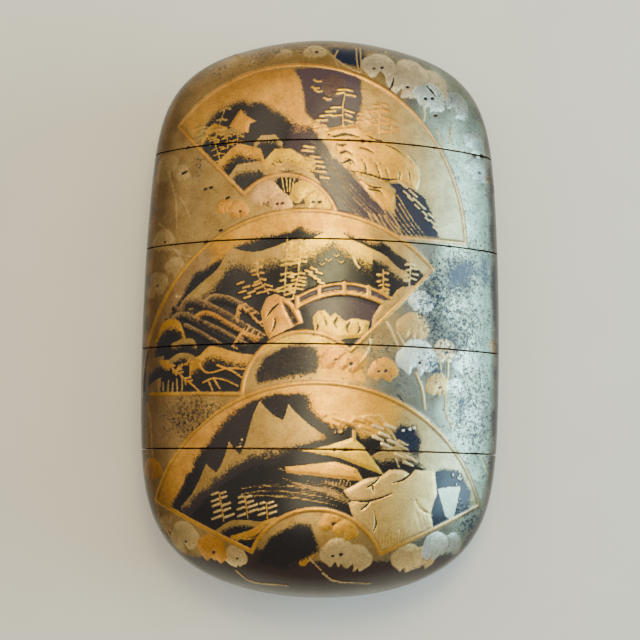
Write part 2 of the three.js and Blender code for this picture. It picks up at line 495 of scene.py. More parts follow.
def roof(p, outline, tone=ORANGE):
    """A thatched roof: a flat shape with fine lines that follow its first side."""
    p.shape(outline, tone, 1.0, 0.08, wobble=0.05)
    start, along, across = (np.array(outline[i], float) for i in (0, 1, -1))
    for share in np.arange(0.12, 1, THATCH_STEP):
        offset = (across - start) * share
        p.scratch([start + offset, along + offset * 0.9], 0.07, 0.75, 0.06)


def pine(p, trunk, tiers, reach, tone=GOLD, dash=0.28):
    """A pine: a thin trunk with drooping dashes of needles on both sides, longer further down."""
    trunk = curve(trunk, 6)
    p.stroke(trunk, 0.18, tone, relief=0.05, taper=0.4)
    for tier in range(tiers):
        share = 1 - (tier + 0.2) / tiers
        u, v = trunk[int(share * (len(trunk) - 1))]
        for side in (-1, 1):
            start = 0.12 + 0.3 * random.random()
            length = reach * (0.35 + 0.45 * (1 - share)) * (0.5 + 0.6 * random.random())
            near_end = np.array([u + side * start, v + 0.14 * side + 0.36 * (random.random() - 0.5)])
            far_end = near_end + [side * length, -length * (0.08 + 0.28 * random.random())]
            p.stroke([near_end, far_end], dash, tone, relief=0.06)


def reeds(p, foot, count, spread, height, lean, tone, width):
    """A row of upright leaves."""
    for i in range(count):
        start = np.array(foot) + [spread * (i / max(count - 1, 1) - 0.5), 0.3 * random.random()]
        tip = start + [lean + 0.3 * (random.random() - 0.5), height * (0.6 + 0.5 * random.random())]
        p.stroke([start, tip], width, tone, relief=0.05, taper=0.5)


def twigs(p, path, leaves, length, width):
    """A twig with leaves on both sides."""
    path = curve(path, 6)
    p.stroke(path, 0.18, ORANGE, relief=0.05, taper=0.4)
    for i in range(leaves):
        start = path[int((i + 0.5) / leaves * (len(path) - 1))]
        heading = math.atan2(*(path[-1] - path[0])[::-1]) + (0.75 if i % 2 else -0.75)
        reach = length * (0.7 + 0.4 * random.random())
        tip = start + reach * np.array([math.cos(heading), math.sin(heading)])
        p.stroke([start, tip], width, ORANGE, relief=0.06, taper=0.4)


def flow(p, path, half_width, lines, tone, width, shortest=0.1):
    """Running water: many fine lines beside a path, each over a part of it."""
    path = curve(path, 8)
    heading = np.gradient(path, axis=0)
    normal = np.stack([-heading[:, 1], heading[:, 0]], axis=1) / np.hypot(*heading.T)[:, None]
    for _ in range(lines):
        offset = half_width * (2 * random.random() - 1)
        start = random.random() * (1 - shortest)
        end = min(1, start + shortest + 0.35 * random.random())
        part = slice(int(start * (len(path) - 1)), int(end * (len(path) - 1)) + 2)
        sway = 0.12 * np.sin(np.linspace(0, 5, len(path))[part] + 6 * random.random())[:, None]
        line = path[part] + normal[part] * (offset + sway)
        if len(line) > 1:
            p.stroke(line, width, tone, gold=0.6 + 0.35 * random.random(), relief=0.01, taper=0.5)


def bridge(p, left, right, rise):
    """An arched bridge: a deck and a rail with posts between them, and dark panels."""
    left, right = np.array(left, float), np.array(right, float)
    share = np.linspace(0, 1, 40)[:, None]
    deck = left + (right - left) * share + [0, 4 * rise] * share * (1 - share)
    rail = deck + [0, BRIDGE_GAP]
    p.shape(np.vstack([deck, rail[::-1]]), gold=0.05, ground=PLUM, wobble=0)
    for line, width in ((deck, 0.5), (rail, 0.42), (deck + [0, 0.42], 0.12)):
        p.stroke(line, width, relief=0.11)
    for post in np.linspace(0, len(deck) - 1, BRIDGE_POSTS).astype(int):
        p.stroke([deck[post], rail[post] + [0, 0.12]], 0.62, relief=0.12)


def blossom(p, centre, size, tone, tilt, specks):
    """A full blossom seen from the side: a round head with faint petals and a ragged foot."""
    at = p.near([np.subtract(centre, size), np.add(centre, size)])
    turn = math.radians(tilt)
    offset = (p.spots[at] - centre) * 2 / size
    across = offset[:, 0] * math.cos(turn) - offset[:, 1] * math.sin(turn)
    up = offset[:, 0] * math.sin(turn) + offset[:, 1] * math.cos(turn)
    lean = 0.2 * (2 * random.random() - 1)
    heads = ((0.0, 0.0, 0.88), (-0.52, lean - 0.1, 0.5), (0.52, -lean - 0.1, 0.5))
    head = np.min([np.hypot(across - x, 1.08 * up - y) - radius for x, y, radius in heads], axis=0)
    ripple = np.abs(np.sin(9 * np.arctan2(across - lean, 1.4 - up) + 2 * lean))
    ragged = 0.8 * lattice_noise(np.stack([5 * across, up], axis=1) + centre, 1.0, seed=31)
    outer = size / 2 * np.maximum(head - 0.05 * ripple, -up - 0.95 + ragged * (1 - np.abs(across)))
    petals = np.clip(ripple / 0.3, 0, 1)
    powder = np.clip(1.15 + 0.35 * up, 0.72, 1.0) - 0.3 * (1 - petals)
    swell = np.clip(-outer / (0.2 * size), 0, 1) ** 0.6
    p.lay(at, covered(outer), powder, tone, relief=0.07 * swell + 0.02 * petals * swell)
    for speck in range(specks):
        place = np.add(centre, size / 2 * np.array([0.1 - 0.45 * speck, -0.25 + 0.2 * random.random()]))
        p.stroke([place, place + [0.2, 0.05]], 0.3 + 0.2 * random.random(), BRONZE, gold=0.1, relief=0.03)


def stem(p, path, tone):
    p.stroke(curve(path), 0.26, tone, gold=0.95, relief=0.07, taper=0.3)


def dots(p, centre, spread, count, size, tone=PALE):
    """Small drops, such as far blossoms or stars."""
    for _ in range(count):
        place = np.array(centre) + spread * (2 * random.random(2) - 1)
        p.stroke([place, place + 0.01], 2 * size * (0.7 + 0.5 * random.random()), tone, relief=0.08)


# ----------------------------------------------------------------------
# The fans.

FAN_RADIUS = 27.0
FAN_HOLE = 9.2
FAN_EDGE = 0.5  # width of the raised edging
FAN_SPAN = 134  # degrees
HAZE_ENDS = 6  # degrees over which a haze fades at its two ends
COOL_SHEEN = 0.46  # how far the fans' gold is paled towards silver at the right, a painted reflection of cool light


class Fan:
    """An open folding fan: a ring's sector about its pivot, from start to end in degrees. Its two arcs are
    each given as a centre and a radius, and needn't be drawn quite about the pivot."""

    def __init__(self, pivot, start, span=FAN_SPAN, rim=None, hole=None):
        self.pivot, self.start, self.end = np.array(pivot, float), start, start + span
        self.rim = rim or (pivot, FAN_RADIUS)
        self.hole = hole or (pivot, FAN_HOLE)

    def distance(self, spots):
        """The distance to the fan's outline, negative on the fan."""
        from_rim = np.hypot(*(spots - self.rim[0]).T) - self.rim[1]
        from_hole = np.hypot(*(spots - self.hole[0]).T) - self.hole[1]
        offset = spots - self.pivot
        first, last = (np.array([math.cos(a), math.sin(a)]) for a in np.radians([self.start, self.end]))
        past_first = offset[:, 0] * first[1] - offset[:, 1] * first[0]
        past_last = offset[:, 1] * last[0] - offset[:, 0] * last[1]
        return np.maximum.reduce([from_rim, -from_hole, past_first, past_last])

    def side_angles(self, centre, radius):
        """The directions, from an arc's centre, in which the fan's two sides meet the arc."""
        offset = np.array(centre) - self.pivot
        found = []
        for angle in np.radians([self.start, self.end]):
            side = np.array([math.cos(angle), math.sin(angle)])
            reach = offset @ side + math.sqrt(radius**2 - offset @ offset + (offset @ side) ** 2)
            found.append(math.degrees(math.atan2(*(reach * side - offset)[::-1])))
        return found

    def outline(self):
        first, last = self.side_angles(*self.rim)
        outer = arc(*self.rim, first, last, 48)
        first, last = self.side_angles(*self.hole)
        return np.vstack([outer, arc(*self.hole, last, first, 24), outer[:1]])

    def paint(self, p, scene, tone=GOLD):
        """The scene, kept to the fan, then the fan's raised edging, and a painted reflection of cool light
        that pales the gold at the right.
        """
        reach = self.distance(p.spots)
        p.window = covered(reach)
        every = np.arange(len(p.spots))
        p.lay(every, np.ones(len(every)), BARE, OLIVE, BLACK, 0.0)
        p.worn[reach < 0] = 0
        scene(p, self)
        p.window = np.ones(len(p.spots))
        line = self.outline()
        p.stroke(line, FAN_EDGE + 0.24, BRONZE, gold=0.5, relief=0.0)
        p.stroke(line, FAN_EDGE, tone, relief=0.09)
        # Painted reflection of cool light: the fans' gold is paled towards silver at the right.
        cool_sheen = COOL_SHEEN * ramp(p.spots[:, 0], 11, 9) * (reach < FAN_EDGE)
        p.tone += (np.array(SILVER) - p.tone) * cool_sheen[:, None]

    def haze(self, p, start, end, depth, fade, tone=GOLD, gold=1.0):
        """A band of powder along the outer edge, over a stretch of the fan, that thins out inwards."""
        centre, radius = self.rim
        at = p.near(arc(centre, radius, start, end), depth + fade)
        offset = p.spots[at] - centre
        inward = radius - np.hypot(*offset.T) + 0.7 * fade * (lattice_noise(p.spots[at], 1.6, seed=5) - 0.5)
        angle = np.degrees(np.arctan2(offset[:, 1], offset[:, 0]))
        within = ramp(angle, start, HAZE_ENDS) * ramp(-angle, -end, HAZE_ENDS)
        powder = gold * within * np.clip(1 - (inward - depth) / fade, 0, 1)
        p.lay(at, np.ones(len(at)), np.maximum(powder, p.gold[at]))
        p.lay(at, np.clip(1.6 * powder, 0, 1), tone=tone)


def river_scene(p, fan):
    """A pavilion among hills on the left, a river down the middle and a gold cliff on the right."""
    fan.haze(p, fan.start - 8, fan.end + 8, 30, 1, OLIVE)
    p.sprinkle([
        (-22, 28.4), (-17, 32.6), (-12, 34.4), (-5, 35.2), (-3.6, 33), (-3.2, 28), (-6, 28.8), (-9, 30.6),
        (-13, 31.2), (-17, 29.8), (-20, 26.6),
    ], HONEY, 1, 1.2)
    p.darken([
        (-18.4, 27.4), (-16.4, 29.4), (-13, 30.6), (-9, 30), (-6, 28.2), (-3.6, 26), (-1.5, 25.6), (-3, 17),
        (-8, 20), (-12, 16), (-19.5, 24),
    ], 1.1, SOOT)
    p.darken([
        (-4.4, 26.4), (-1.5, 26), (0.2, 24), (1.6, 21.6), (3.6, 20), (6, 17.6), (7.4, 15.8), (10.6, 13.8),
        (12, 10), (2, 9), (-3, 17), (-5.6, 22),
    ], 0.5, PLUM)
    p.darken([
        (-4.8, 35.4), (-3.4, 33.4), (-3, 31), (-2.7, 28.4), (-1.2, 26.8), (1, 25.8), (5, 26.8), (5.8, 30),
        (5.6, 33.6), (3, 35.4),
    ], 0.45, PLUM)
    p.sprinkle([(-4.6, 27.6), (-1.8, 27.2), (-1, 25.4), (-4, 25.4)], ORANGE, 0.55, 1.6)
    p.shape(arc((1.5, 32.5), 1.8, 0, 360), COPPER, 0.55, wobble=0)
    for u, v in ((-1.4, 33.4), (-1.7, 32.3), (-1.3, 31.8), (0.1, 30.6)):
        p.stroke([(u, v), (u + 0.5, v - 0.25), (u + 1, v - 0.2)], 0.3, BRIGHT, relief=0.06)
    hill(p, [(-10.2, 24), (-9.1, 25), (-7, 25), (-5.9, 23.8)], 1.1, smooth=False)
    hill(p, [(-19, 25), (-18, 26.8), (-16.8, 27.5), (-14.6, 26.6)], 1.5, GOLD, smooth=False)
    hill(p, [(-15, 26.2), (-13.4, 26.7), (-11.8, 26.4)], 1.2, smooth=False)
    roof(p, [(-14.3, 26.8), (-12.5, 29.3), (-12, 28.5), (-10, 27.2), (-11, 26.9), (-11.2, 25.5), (-13, 26.2)])
    hill(p, [(-16, 21.2), (-13.9, 23.3), (-12.4, 24), (-9.2, 23), (-8.6, 21.4)], 1.9, GOLD, smooth=False)
    hill(p, [(-8.6, 21.2), (-7, 22.9), (-4.5, 22.8), (-3.3, 21.9), (-1, 21.2)], 2.3, BRIGHT, smooth=False)
    hill(p, [(-14.6, 18.4), (-12.8, 20.8), (-9.3, 21.1), (-7, 19)], 1.6, smooth=False)
    hill(p, [(-7.6, 20), (-5.2, 20.9), (-2.6, 20), (-0.2, 17.8)], 1.4, smooth=False)
    pine(p, [(-16.6, 24.8), (-16, 27), (-14.9, 30.2)], 4, 1.4, OLIVE)
    pine(p, [(-18.6, 25.4), (-19.6, 27.6)], 3, 1.2, OLIVE)
    pine(p, [(-15.6, 21.6), (-16.2, 23.4), (-16.9, 25.2)], 5, 1.7, GOLD, 0.2)
    pine(p, [(-12.9, 23.8), (-12.8, 26)], 3, 1.7, GOLD, 0.2)
    pine(p, [(-14.4, 23.4), (-14.6, 25.4)], 3, 1.3, GOLD, 0.2)
    for u, v, length in (
        (-2.7, 23.2, 1.4), (-2.9, 22.6, 1.5), (-1.7, 21.7, 1.3), (-1.5, 21, 1.6), (-0.9, 20.3, 1.2),
        (-0.8, 19.5, 1.4), (-0.2, 18.6, 1.2),
    ):
        p.stroke([(u, v), (u + length, v - 0.15)], 0.34, BRIGHT, relief=0.06)
    pine(p, [(-8.2, 19.8), (-8.4, 21.4)], 2, 1.2)
    pine(p, [(-6.7, 18.8), (-6.9, 20.8)], 3, 1.2)
    flow(p, [
        (-3.5, 24.4), (0.5, 20.8), (4, 16.6), (8.5, 12.2), (11, 9.6),
    ], 2.2, 34, (0.26, 0.17, 0.11), 0.06, 0.25)
    rock(p, [
        (0, 25.6), (2.2, 26.2), (5.2, 26.6), (7.6, 25.2), (10, 24.2), (12.4, 22.6), (14.2, 21),
        (14.5, 18.8), (13.9, 17.5), (11.6, 18.4), (8.9, 18.2), (7, 19), (5.4, 18.9), (4.4, 20), (3.4, 20),
        (2.6, 21.6), (1.8, 22.2), (1.6, 23.6), (0.8, 24.2),
    ], [
        [(0.8, 25), (1.6, 24.7), (2.4, 24.9)], [(2, 23.6), (2.8, 23.4), (3.4, 23.6)],
        [(5.6, 23.2), (6.6, 22.9), (7.6, 22.4)], [(3.4, 21.6), (4, 21.2), (4.2, 20.6)],
        [(8.6, 21), (9.4, 20.2), (9.9, 18.8)], [(12.2, 21.2), (13, 20.2), (13.2, 18.9)],
        [(2.6, 22.2), (3.4, 22.5), (4.4, 22.1)], [(5.8, 21.4), (6.4, 20.6), (6.5, 19.2)],
        [(7.2, 21.5), (8.1, 20.5), (8.7, 18.6)], [(10.6, 21), (11.6, 20), (11.5, 18.6)],
        [(1.8, 24.7), (3.4, 25.1), (5.4, 24.7)], [(5, 26.4), (7, 24.8), (8.8, 24.4)],
        [(3, 20.8), (4.2, 21.2), (5, 20.4)], [(9.4, 23.8), (11, 23.2), (12.4, 22.2)],
        [(4.4, 19.6), (6.8, 19.2), (9.2, 18.6), (11.4, 18.8)],
    ], GOLD)
    p.stroke(curve([(13, 22.4), (14.2, 21), (14.5, 19.2), (14.1, 17.6)]), 0.3, PALE, relief=0.13)
    rock(p, [
        (5.2, 18.7), (7, 17.9), (9.6, 17.5), (10.9, 16.4), (10.6, 13.8), (9.3, 14.2), (7.8, 15.6),
        (6.6, 16.8),
    ], [
        [(6.8, 17), (8.4, 16.8), (9.8, 15.4)], [(5.6, 18.4), (7.2, 17.4), (8.8, 17.4)],
    ], GOLD)
    p.darken([
        (9.8, 18.1), (11.6, 18.3), (14.2, 17.2), (15.6, 16.4), (17.2, 13.4), (18, 10.6), (12, 10.4),
        (10.9, 13), (10.9, 17.2),
    ], 0.3, BLUE)
    for line in range(10):
        foot = 9.6 + 0.75 * line
        rise = 3.3 if line < 4 else 6.4 - 0.6 * (line % 3)
        p.stroke(curve([
            (foot - 0.8 * rise, 10 + rise), (foot - 0.42 * rise, 10 + 0.45 * rise), (foot, 10),
        ]), 0.14, GOLD, relief=0.03, taper=0.4)
    for u, v, length in (
        (11.3, 18.6, 1.7), (13.1, 17.3, 1.5), (12.2, 17.1, 1.2), (13.7, 16.2, 1.3), (12.9, 16.3, 0.9),
        (14.7, 15.4, 1.2), (14, 15.2, 0.8), (15.2, 14.3, 0.9), (16.2, 14.1, 0.9), (16.5, 13.1, 1),
        (15.7, 13.4, 0.7), (17, 12.2, 0.8),
    ):
        p.stroke([(u, v), (u + 0.8 * length, v - 0.6 * length)], 0.27, PALE, relief=0.07)
    p.stroke(curve([(3, 26.2), (2.9, 29), (3.2, 31.4)]), 0.22, BRIGHT, relief=0.06, taper=0.3)
    for u, v, length, drop in (
        (2.2, 31.9, 1.2, 0.1), (3.3, 32, 1, -0.2), (2, 31.3, 1, 0.2), (3.5, 31.2, 1.3, -0.2),
        (1.2, 29.1, 1.4, 0.1), (0.4, 28.5, 1.5, 0.1), (3.2, 28.8, 1.4, -0.4), (3.3, 28.2, 1, -0.4),
        (-0.4, 27.8, 1.7, 0.2), (-1, 27.1, 1.6, 0.1), (1.4, 27.8, 1.2, 0.2), (3.2, 27.3, 1.2, -0.3),
    ):
        p.stroke([(u, v), (u + length, v + drop)], 0.3, BRIGHT, relief=0.07)
    pine(p, [(6.2, 26.4), (6, 29)], 4, 1.6, ORANGE)
    pine(p, [(8.4, 25.6), (8.5, 28), (8.7, 30.2)], 7, 2.6, ORANGE)
    pine(p, [(10.2, 25.4), (10.4, 28)], 4, 1.8, ORANGE)
    pine(p, [(-0.4, 25.6), (-0.6, 27.2)], 3, 1.2, GOLD)


def bridge_scene(p, fan):
    """A bright peak between hills, pines, an arched bridge, and long banks of rock on the left."""
    fan.haze(p, 62, 132, 2.2, 1.5, GOLD)
    fan.haze(p, 38, 72, 1.5, 1, OLIVE)
    fan.haze(p, 122, 184, 1.7, 1.3, BRONZE, 0.9)
    hill(p, [
        (-21.5, 0.8), (-18.6, 3), (-15.6, 5.2), (-13.6, 8), (-11.5, 7.8), (-9.5, 7.6), (-7, 8.2),
        (-4.5, 9.2), (-2.6, 9.5),
    ], 2.7, OLIVE)
    hill(p, [
        (-4.6, 8.8), (-1.2, 9.5), (0.4, 10.4), (1.7, 11.3), (3.2, 10.2), (5, 9.2), (7, 8.4), (8.8, 7.6),
        (10, 6.6),
    ], 3, BRIGHT, smooth=False)
    hill(p, [(7.6, 8), (9.6, 7.2), (11.2, 5.8), (13, 4.9)], 1.5, OLIVE)
    for u, v in ((1.2, 6.2), (2.3, 6.9), (3, 6), (0.2, 5.6)):
        p.stroke([(u - 0.4, v + 0.3), (u, v), (u + 0.4, v + 0.3)], 0.13, BRIGHT, relief=0.04)
    pine(p, [(-7.5, 1.4), (-9, 3.8), (-9.4, 6.6)], 6, 1.7)
    for u, v in ((-12.3, 2.9), (-11.4, 2.3), (-12, 1.6), (-10.6, 1.5), (-11.2, 0.8), (-9.9, 2.6)):
        p.stroke([(u, v), (u + 1, v + 0.3)], 0.3, GOLD, relief=0.06)
    pine(p, [(-5.2, 1.2), (-5, 5), (-4.9, 9.6)], 8, 1.3, BRIGHT)
    pine(p, [(-3.9, 0.6), (-3.2, 4.4), (-3, 9.2)], 10, 1.9, BRIGHT)
    for u, v in ((-2.2, 4.8), (-1.6, 4.2), (-0.9, 3.7), (-0.3, 3.2), (-1.4, 5.2), (-0.6, 4.6)):
        p.stroke([(u, v), (u + 0.9, v - 0.3)], 0.3, BRIGHT, relief=0.06)
    pine(p, [(9.2, 0.8), (9.2, 5.2)], 8, 1.1)
    pine(p, [(13.2, 2.8), (13.4, 7)], 5, 1.7, PALE)
    p.stroke(curve([(4.8, 7), (5.2, 6), (5.7, 5.3)]), 0.2, PALE, relief=0.06)
    dots(p, (-22.2, 1.4), 0.5, 5, 0.12)
    bank(p, [(-17.4, 0.8), (-16.2, 1.5), (-14, 1.3), (-11.4, 0.2), (-8.8, -1.5)], 1.3)
    bank(p, [(-21.8, 0), (-21, 1), (-19.4, 1.2), (-17, 0.4), (-14, -1), (-11, -2.8), (-7.8, -4.6)], 1.5)
    bank(p, [
        (-19, -1.4), (-17.7, -0.9), (-16, -1.2), (-13.5, -2.6), (-11, -4), (-8.8, -5.4),
    ], 1, ORANGE, 0.75)
    bank(p, [(-23.4, -1.6), (-22.2, -0.9), (-20.5, -1), (-18, -2.2), (-14, -4.2), (-10.4, -5.8)], 1.3)
    bank(p, [(-20.6, -2.6), (-18, -3.8), (-14.6, -5.7)], 0.9)
    bank(p, [(-17.4, -2.3), (-14, -3.9), (-11, -5.7)], 0.9)
    hill(p, [(-26.4, -4.6), (-24.7, -2.1), (-22, -2.1), (-20.7, -4.4)], 1.5, GOLD)
    hill(p, [(-23.2, -5.4), (-20.6, -4.8), (-19.4, -5), (-18.6, -5.8)], 1)
    hill(p, [(-27.6, -9), (-26.4, -7.6), (-24.6, -7.2)], 1.6, BRONZE)
    hill(p, [(-24.4, -8.4), (-22.6, -7.3), (-21.2, -6.9), (-19.6, -7.2), (-18.4, -7.8)], 1)
    hill(p, [
        (-19.8, -8.6), (-18, -7.3), (-16.4, -6.1), (-14.6, -6.4), (-11.8, -7.2), (-7.6, -7.7),
    ], 1.9, GOLD)
    hill(p, [(-28.2, -12.4), (-26.8, -11.2), (-25, -10.4)], 1.8, BRONZE)
    for path in (
        [(-18.2, -8.8), (-16.6, -10), (-13.4, -9.4), (-10.6, -9.6)],
        [(-15.2, -8.9), (-12.8, -9.8), (-11.2, -10.8)],
        [(-17.4, -11.4), (-15.6, -10.8), (-13.6, -11.2), (-11.8, -12)], [(-16.4, -11.4), (-15.8, -12.6)],
        [(-19.6, -11.4), (-18.6, -12.2), (-17.8, -12.8)], [(-15.6, -11), (-14.6, -12.4)],
    ):
        p.stroke(curve(path), 0.26, ORANGE, relief=0.06, taper=0.3)
    twigs(p, [(-25.2, -7.9), (-22.8, -9.2), (-19.4, -11.6)], 16, 0.9, 0.34)
    twigs(p, [(-22.6, -9.8), (-20.6, -8.6), (-17.8, -7.8)], 9, 0.7, 0.3)
    reeds(p, (-23.2, -12.6), 6, 4.4, 1.7, 0, OLIVE, 0.34)
    twigs(p, [(-12.4, -1.9), (-11.6, -0.3), (-8.2, -3.4)], 14, 1, 0.26)
    twigs(p, [(-12.8, -6.2), (-11.2, -4.3), (-8.6, -5)], 12, 0.9, 0.26)
    p.darken([(-3, 1.6), (0.6, 0.6), (5, 0.9), (8.4, 0), (8, -2.6), (4, -3.4), (-1, -2.4)], 0.4, PLUM, 0.18)
    rock(p, [
        (-8.6, -1.2), (-7.8, 0.8), (-6.5, 1.4), (-4.8, 0.7), (-3.2, -0.6), (-2.3, -2.8), (-4, -3.5),
        (-6.3, -4.6), (-7.3, -5.2), (-8.1, -3.6),
    ], [
        [(-7.6, -1.8), (-6.8, -0.8), (-6, -0.1)], [(-5.4, 0.6), (-4.4, -1), (-3.6, -2.6)],
        [(-6.8, -4), (-6.4, -3), (-6.5, -2.2)],
    ], ORANGE)
    p.darken([
        (-5.6, 0.2), (-4.6, -0.2), (-3.9, -1.2), (-3, -2.7), (-3.9, -3.3), (-4.7, -1.8),
    ], 0.2, SOOT, 0.25)
    bridge(p, (-3.3, -0.6), (10.6, -0.5), 2.1)
    rock(p, [
        (-1, -2), (-0.4, -1.2), (0.8, -1), (1.6, -1.9), (2.2, -1.3), (3, -2), (3.8, -2.5), (4.8, -2.1),
        (7.2, -2.4), (7, -4.6), (3, -5.2), (-0.6, -4.4),
    ], [
        [(0.2, -1.4), (0.8, -2.2), (1, -3.2)], [(2.6, -2), (2.2, -2.8), (2.6, -3.6)],
        [(4.4, -2.6), (4, -3.4), (4.3, -4.2)], [(5.6, -2.6), (5.9, -3.4), (5.6, -4.2)],
        [(-0.6, -2.4), (-0.2, -3.2), (-0.5, -4)],
    ], BRIGHT, 0.07)
    rock(p, [
        (7.8, -1.6), (8.5, -0.4), (9.4, 0.7), (10.4, 0.9), (11.2, 2.3), (12.2, 2.9), (14.6, 2.8),
        (15.6, 3.6), (7.4, -4.6),
    ], [[(9.4, 0.4), (10.2, -0.4), (10.4, -1.2)]], OLIVE, 0.05)


def village_scene(p, fan):
    """Pointed mountains, two thatched roofs by the water and a great gold rock, with a bent pine above."""
    fan.haze(p, 18, 70, 4.6, 3, OLIVE, 0.92)
    fan.haze(p, 62, 96, 5, 2.4, GOLD)
    fan.haze(p, 84, 122, 0.9, 1.2, GOLD)
    fan.haze(p, 112, 162, 2.6, 1.6, HONEY, 0.95)
    p.darken([
        (-17.4, -22.6), (-15.4, -18.8), (-13.2, -16.4), (-9.6, -14.2), (-6, -13.2), (-2.6, -13.3),
        (-1.4, -15), (0.8, -16.8), (1.4, -19), (-6, -20), (-16, -26),
    ], 0.9, SOOT)
    ridge(p, [
        (-21, -29.4), (-19, -27.6), (-17.6, -25.4), (-16.6, -23.2), (-15.8, -23.9), (-14.9, -24.4),
        (-14.1, -23.3), (-13.5, -21.8), (-13, -19.9), (-12.3, -20.9), (-11.3, -21.9), (-10.5, -20.3),
        (-10, -18.4), (-9.4, -16.2), (-8.5, -14.2), (-7.6, -15.1), (-6.4, -16.2), (-5, -16.9), (-4.6, -16),
        (-4.3, -14.6), (-3.5, -15.5), (-2.2, -16.7), (-0.4, -18.1), (2.6, -20.1),
    ], [
        (-21, -31), (-17, -28.2), (-13, -25.2), (-9.6, -23.4), (-6, -22.6), (-3, -21.8), (3, -21),
    ])
    dots(p, (-11.6, -20.3), 0.6, 5, 0.13)
    hill(p, [(6.6, -22.2), (8.4, -21.4), (11.6, -20.6), (14.4, -20.9), (16.4, -22.4)], 1.6)
    p.darken([
        (10.6, -18.4), (12.2, -17.2), (14.4, -17.4), (15.4, -19.4), (14.8, -21.8), (12.6, -20.8),
    ], 0.7, BLUE)
    for u, v in ((12.4, -18), (13.4, -17.8), (14.1, -17.6)):
        p.stroke([(u, v), (u + 0.1, v)], 0.36, PEARL, relief=0.04)
    for path in (
        [(4.6, -17), (6.4, -16.2), (9.2, -16)], [(5.2, -17.4), (7.4, -18.6), (8.6, -18.9)],
        [(9.2, -16.2), (10.2, -18), (11.3, -19.4), (11.3, -21.6), (11.9, -23.4)],
        [(8.6, -21.4), (11.4, -20.4)], [(11.4, -20.4), (12.8, -21.6), (14.6, -22.4)],
    ):
        p.stroke(curve(path), 0.17, DULL, relief=0.05, taper=0.3)
    for u, v in (
        (1, -16.8), (2.4, -16.5), (3.8, -16.9), (5.2, -16.5), (6.2, -17.6), (6.6, -16.4), (7.4, -16.8),
        (8, -17.4), (8, -19), (9, -18.5), (9.3, -20), (10.3, -19.5), (9.8, -17.3), (11.7, -20.2),
        (11.4, -21.5), (12.9, -21.7), (12.6, -22.5), (11.8, -19.6),
    ):
        leaf_tone = GOLD if u < 7.8 else CREAM if u < 11 else DULL
        p.stroke([(u, v), (u + 1.4, v - 0.5)], 0.44, leaf_tone, relief=0.07, taper=0.5)
    dots(p, (2.4, -17.6), 2.2, 12, 0.16, GOLD)
    p.darken([
        (-2.4, -20.6), (4.4, -18.6), (8.8, -22.6), (9.6, -25.2), (3, -26.6), (-5.6, -24.6), (-5.6, -22.6),
    ], 0.4)
    roof(p, [(-4.5, -23.5), (2.6, -22.7), (5.6, -23.5), (6.6, -25.3), (3.6, -25.1), (-4.4, -24.3)], GOLD)
    p.scratch([(-2.4, -21.5), (3.2, -22.5), (6, -23.6), (9.4, -24.9)], 0.34, 0, 0)
    roof(p, [
        (-2.2, -21.2), (1.6, -20.4), (5, -19.2), (6.4, -20.2), (9.6, -24.4), (6, -23.2), (3.3, -22.1),
    ], BRIGHT)
    p.stroke([(5.2, -18.4), (5.2, -19.4)], 0.5, GOLD, relief=0.08)
    reeds(p, (3, -26.1), 8, 3.4, 0.8, 0.1, ORANGE, 0.14)
    flow(p, [(-6, -24.8), (-2, -25.8), (2, -26.5), (5, -27.6)], 1.2, 22, (0.40, 0.24, 0.10), 0.1, 0.25)
    flow(p, [(-11.6, -27.6), (-6, -27), (0.5, -27.6), (4.6, -28.8)], 0.9, 12, OLIVE, 0.12, 0.25)
    for foot, top, tiers in (
        ((-13.6, -31.4), (-14.4, -27.2), 5), ((-9.9, -30.8), (-10.4, -27.8), 4),
        ((-7, -30.8), (-7.2, -28.6), 3),
    ):
        p.stroke([foot, top], 0.16, GOLD, relief=0.05)
        for tier in range(tiers):
            u, v = np.array(top) + (np.array(foot) - top) * (tier + 0.1) / tiers
            for side in (-1, 1):
                length = (0.8 + 0.16 * tier) * (0.7 + 0.4 * random.random())
                near_end = np.array([u + 0.34 * side, v + 0.3 * (random.random() - 0.5)])
                far_end = near_end + [side * length, side * 0.34 * length]
                p.stroke([near_end, far_end], 0.34, PALE, relief=0.07, taper=0.2)
    hill(p, [(-15.4, -32.9), (-12.8, -31.4), (-10.8, -31.1), (-8, -31.3), (-6, -30.9)], 0.9)
    hill(p, [(-12.6, -33.4), (-9.2, -32.4), (-7.4, -31.1), (-4.6, -30.4), (-2.8, -29.9)], 0.9, GOLD)
    flow(p, [(-12.4, -33.9), (-9.2, -33.4), (-7.2, -32.2)], 0.6, 7, GOLD, 0.14, 0.4)
    p.darken([
        (17, -24), (19, -23.2), (22, -23.6), (24, -26.6), (24, -30.2), (19.8, -32), (17, -32),
    ], 0.4, BLUE)
    p.shape([
        (18, -26.2), (20, -25.9), (22.1, -25.8), (21.6, -28), (21, -30.8), (19.6, -30.2), (18.8, -28.2),
    ], SILVER, 0.85)
    dots(p, (21.6, -24.6), 1.1, 9, 0.16, SILVER)
    dots(p, (22.6, -28.4), 1.2, 14, 0.07, SILVER)
    rock(p, [
        (3.8, -26.7), (5.1, -26), (7, -25), (9.2, -24.6), (10.4, -23.7), (12.2, -23.6), (13.4, -24.1),
        (14.4, -23.6), (17.4, -23.7), (17.8, -25.4), (18, -27), (17.2, -29), (17.1, -30.2), (17.8, -32.4),
        (9.4, -35.6), (7.6, -33.2), (6, -31.4), (5, -29.9), (4.6, -28.5), (5.4, -28.2), (4.3, -27.5),
    ], [
        [(7.2, -26.2), (8.2, -25.6), (9, -24.7)], [(11, -25.5), (12.6, -25), (14, -23.9)],
        [(4.8, -28.1), (6.8, -28.2), (8.8, -27.8), (10.8, -27)], [(6.3, -29.4), (7, -28.9), (7.6, -28.2)],
        [(14.5, -27.9), (15.5, -29.2), (17, -29.9)], [(8, -25.6), (8.1, -27)],
        [(8.3, -29.6), (8.6, -31.2), (8.2, -32.4)],
    ], (1, 0.62, 0.17))
    reeds(p, (10.8, -34.4), 9, 3.6, 2.2, 0, GOLD, 0.17)
    reeds(p, (16.2, -32.2), 5, 1.6, 2.4, -0.9, PALE, 0.17)


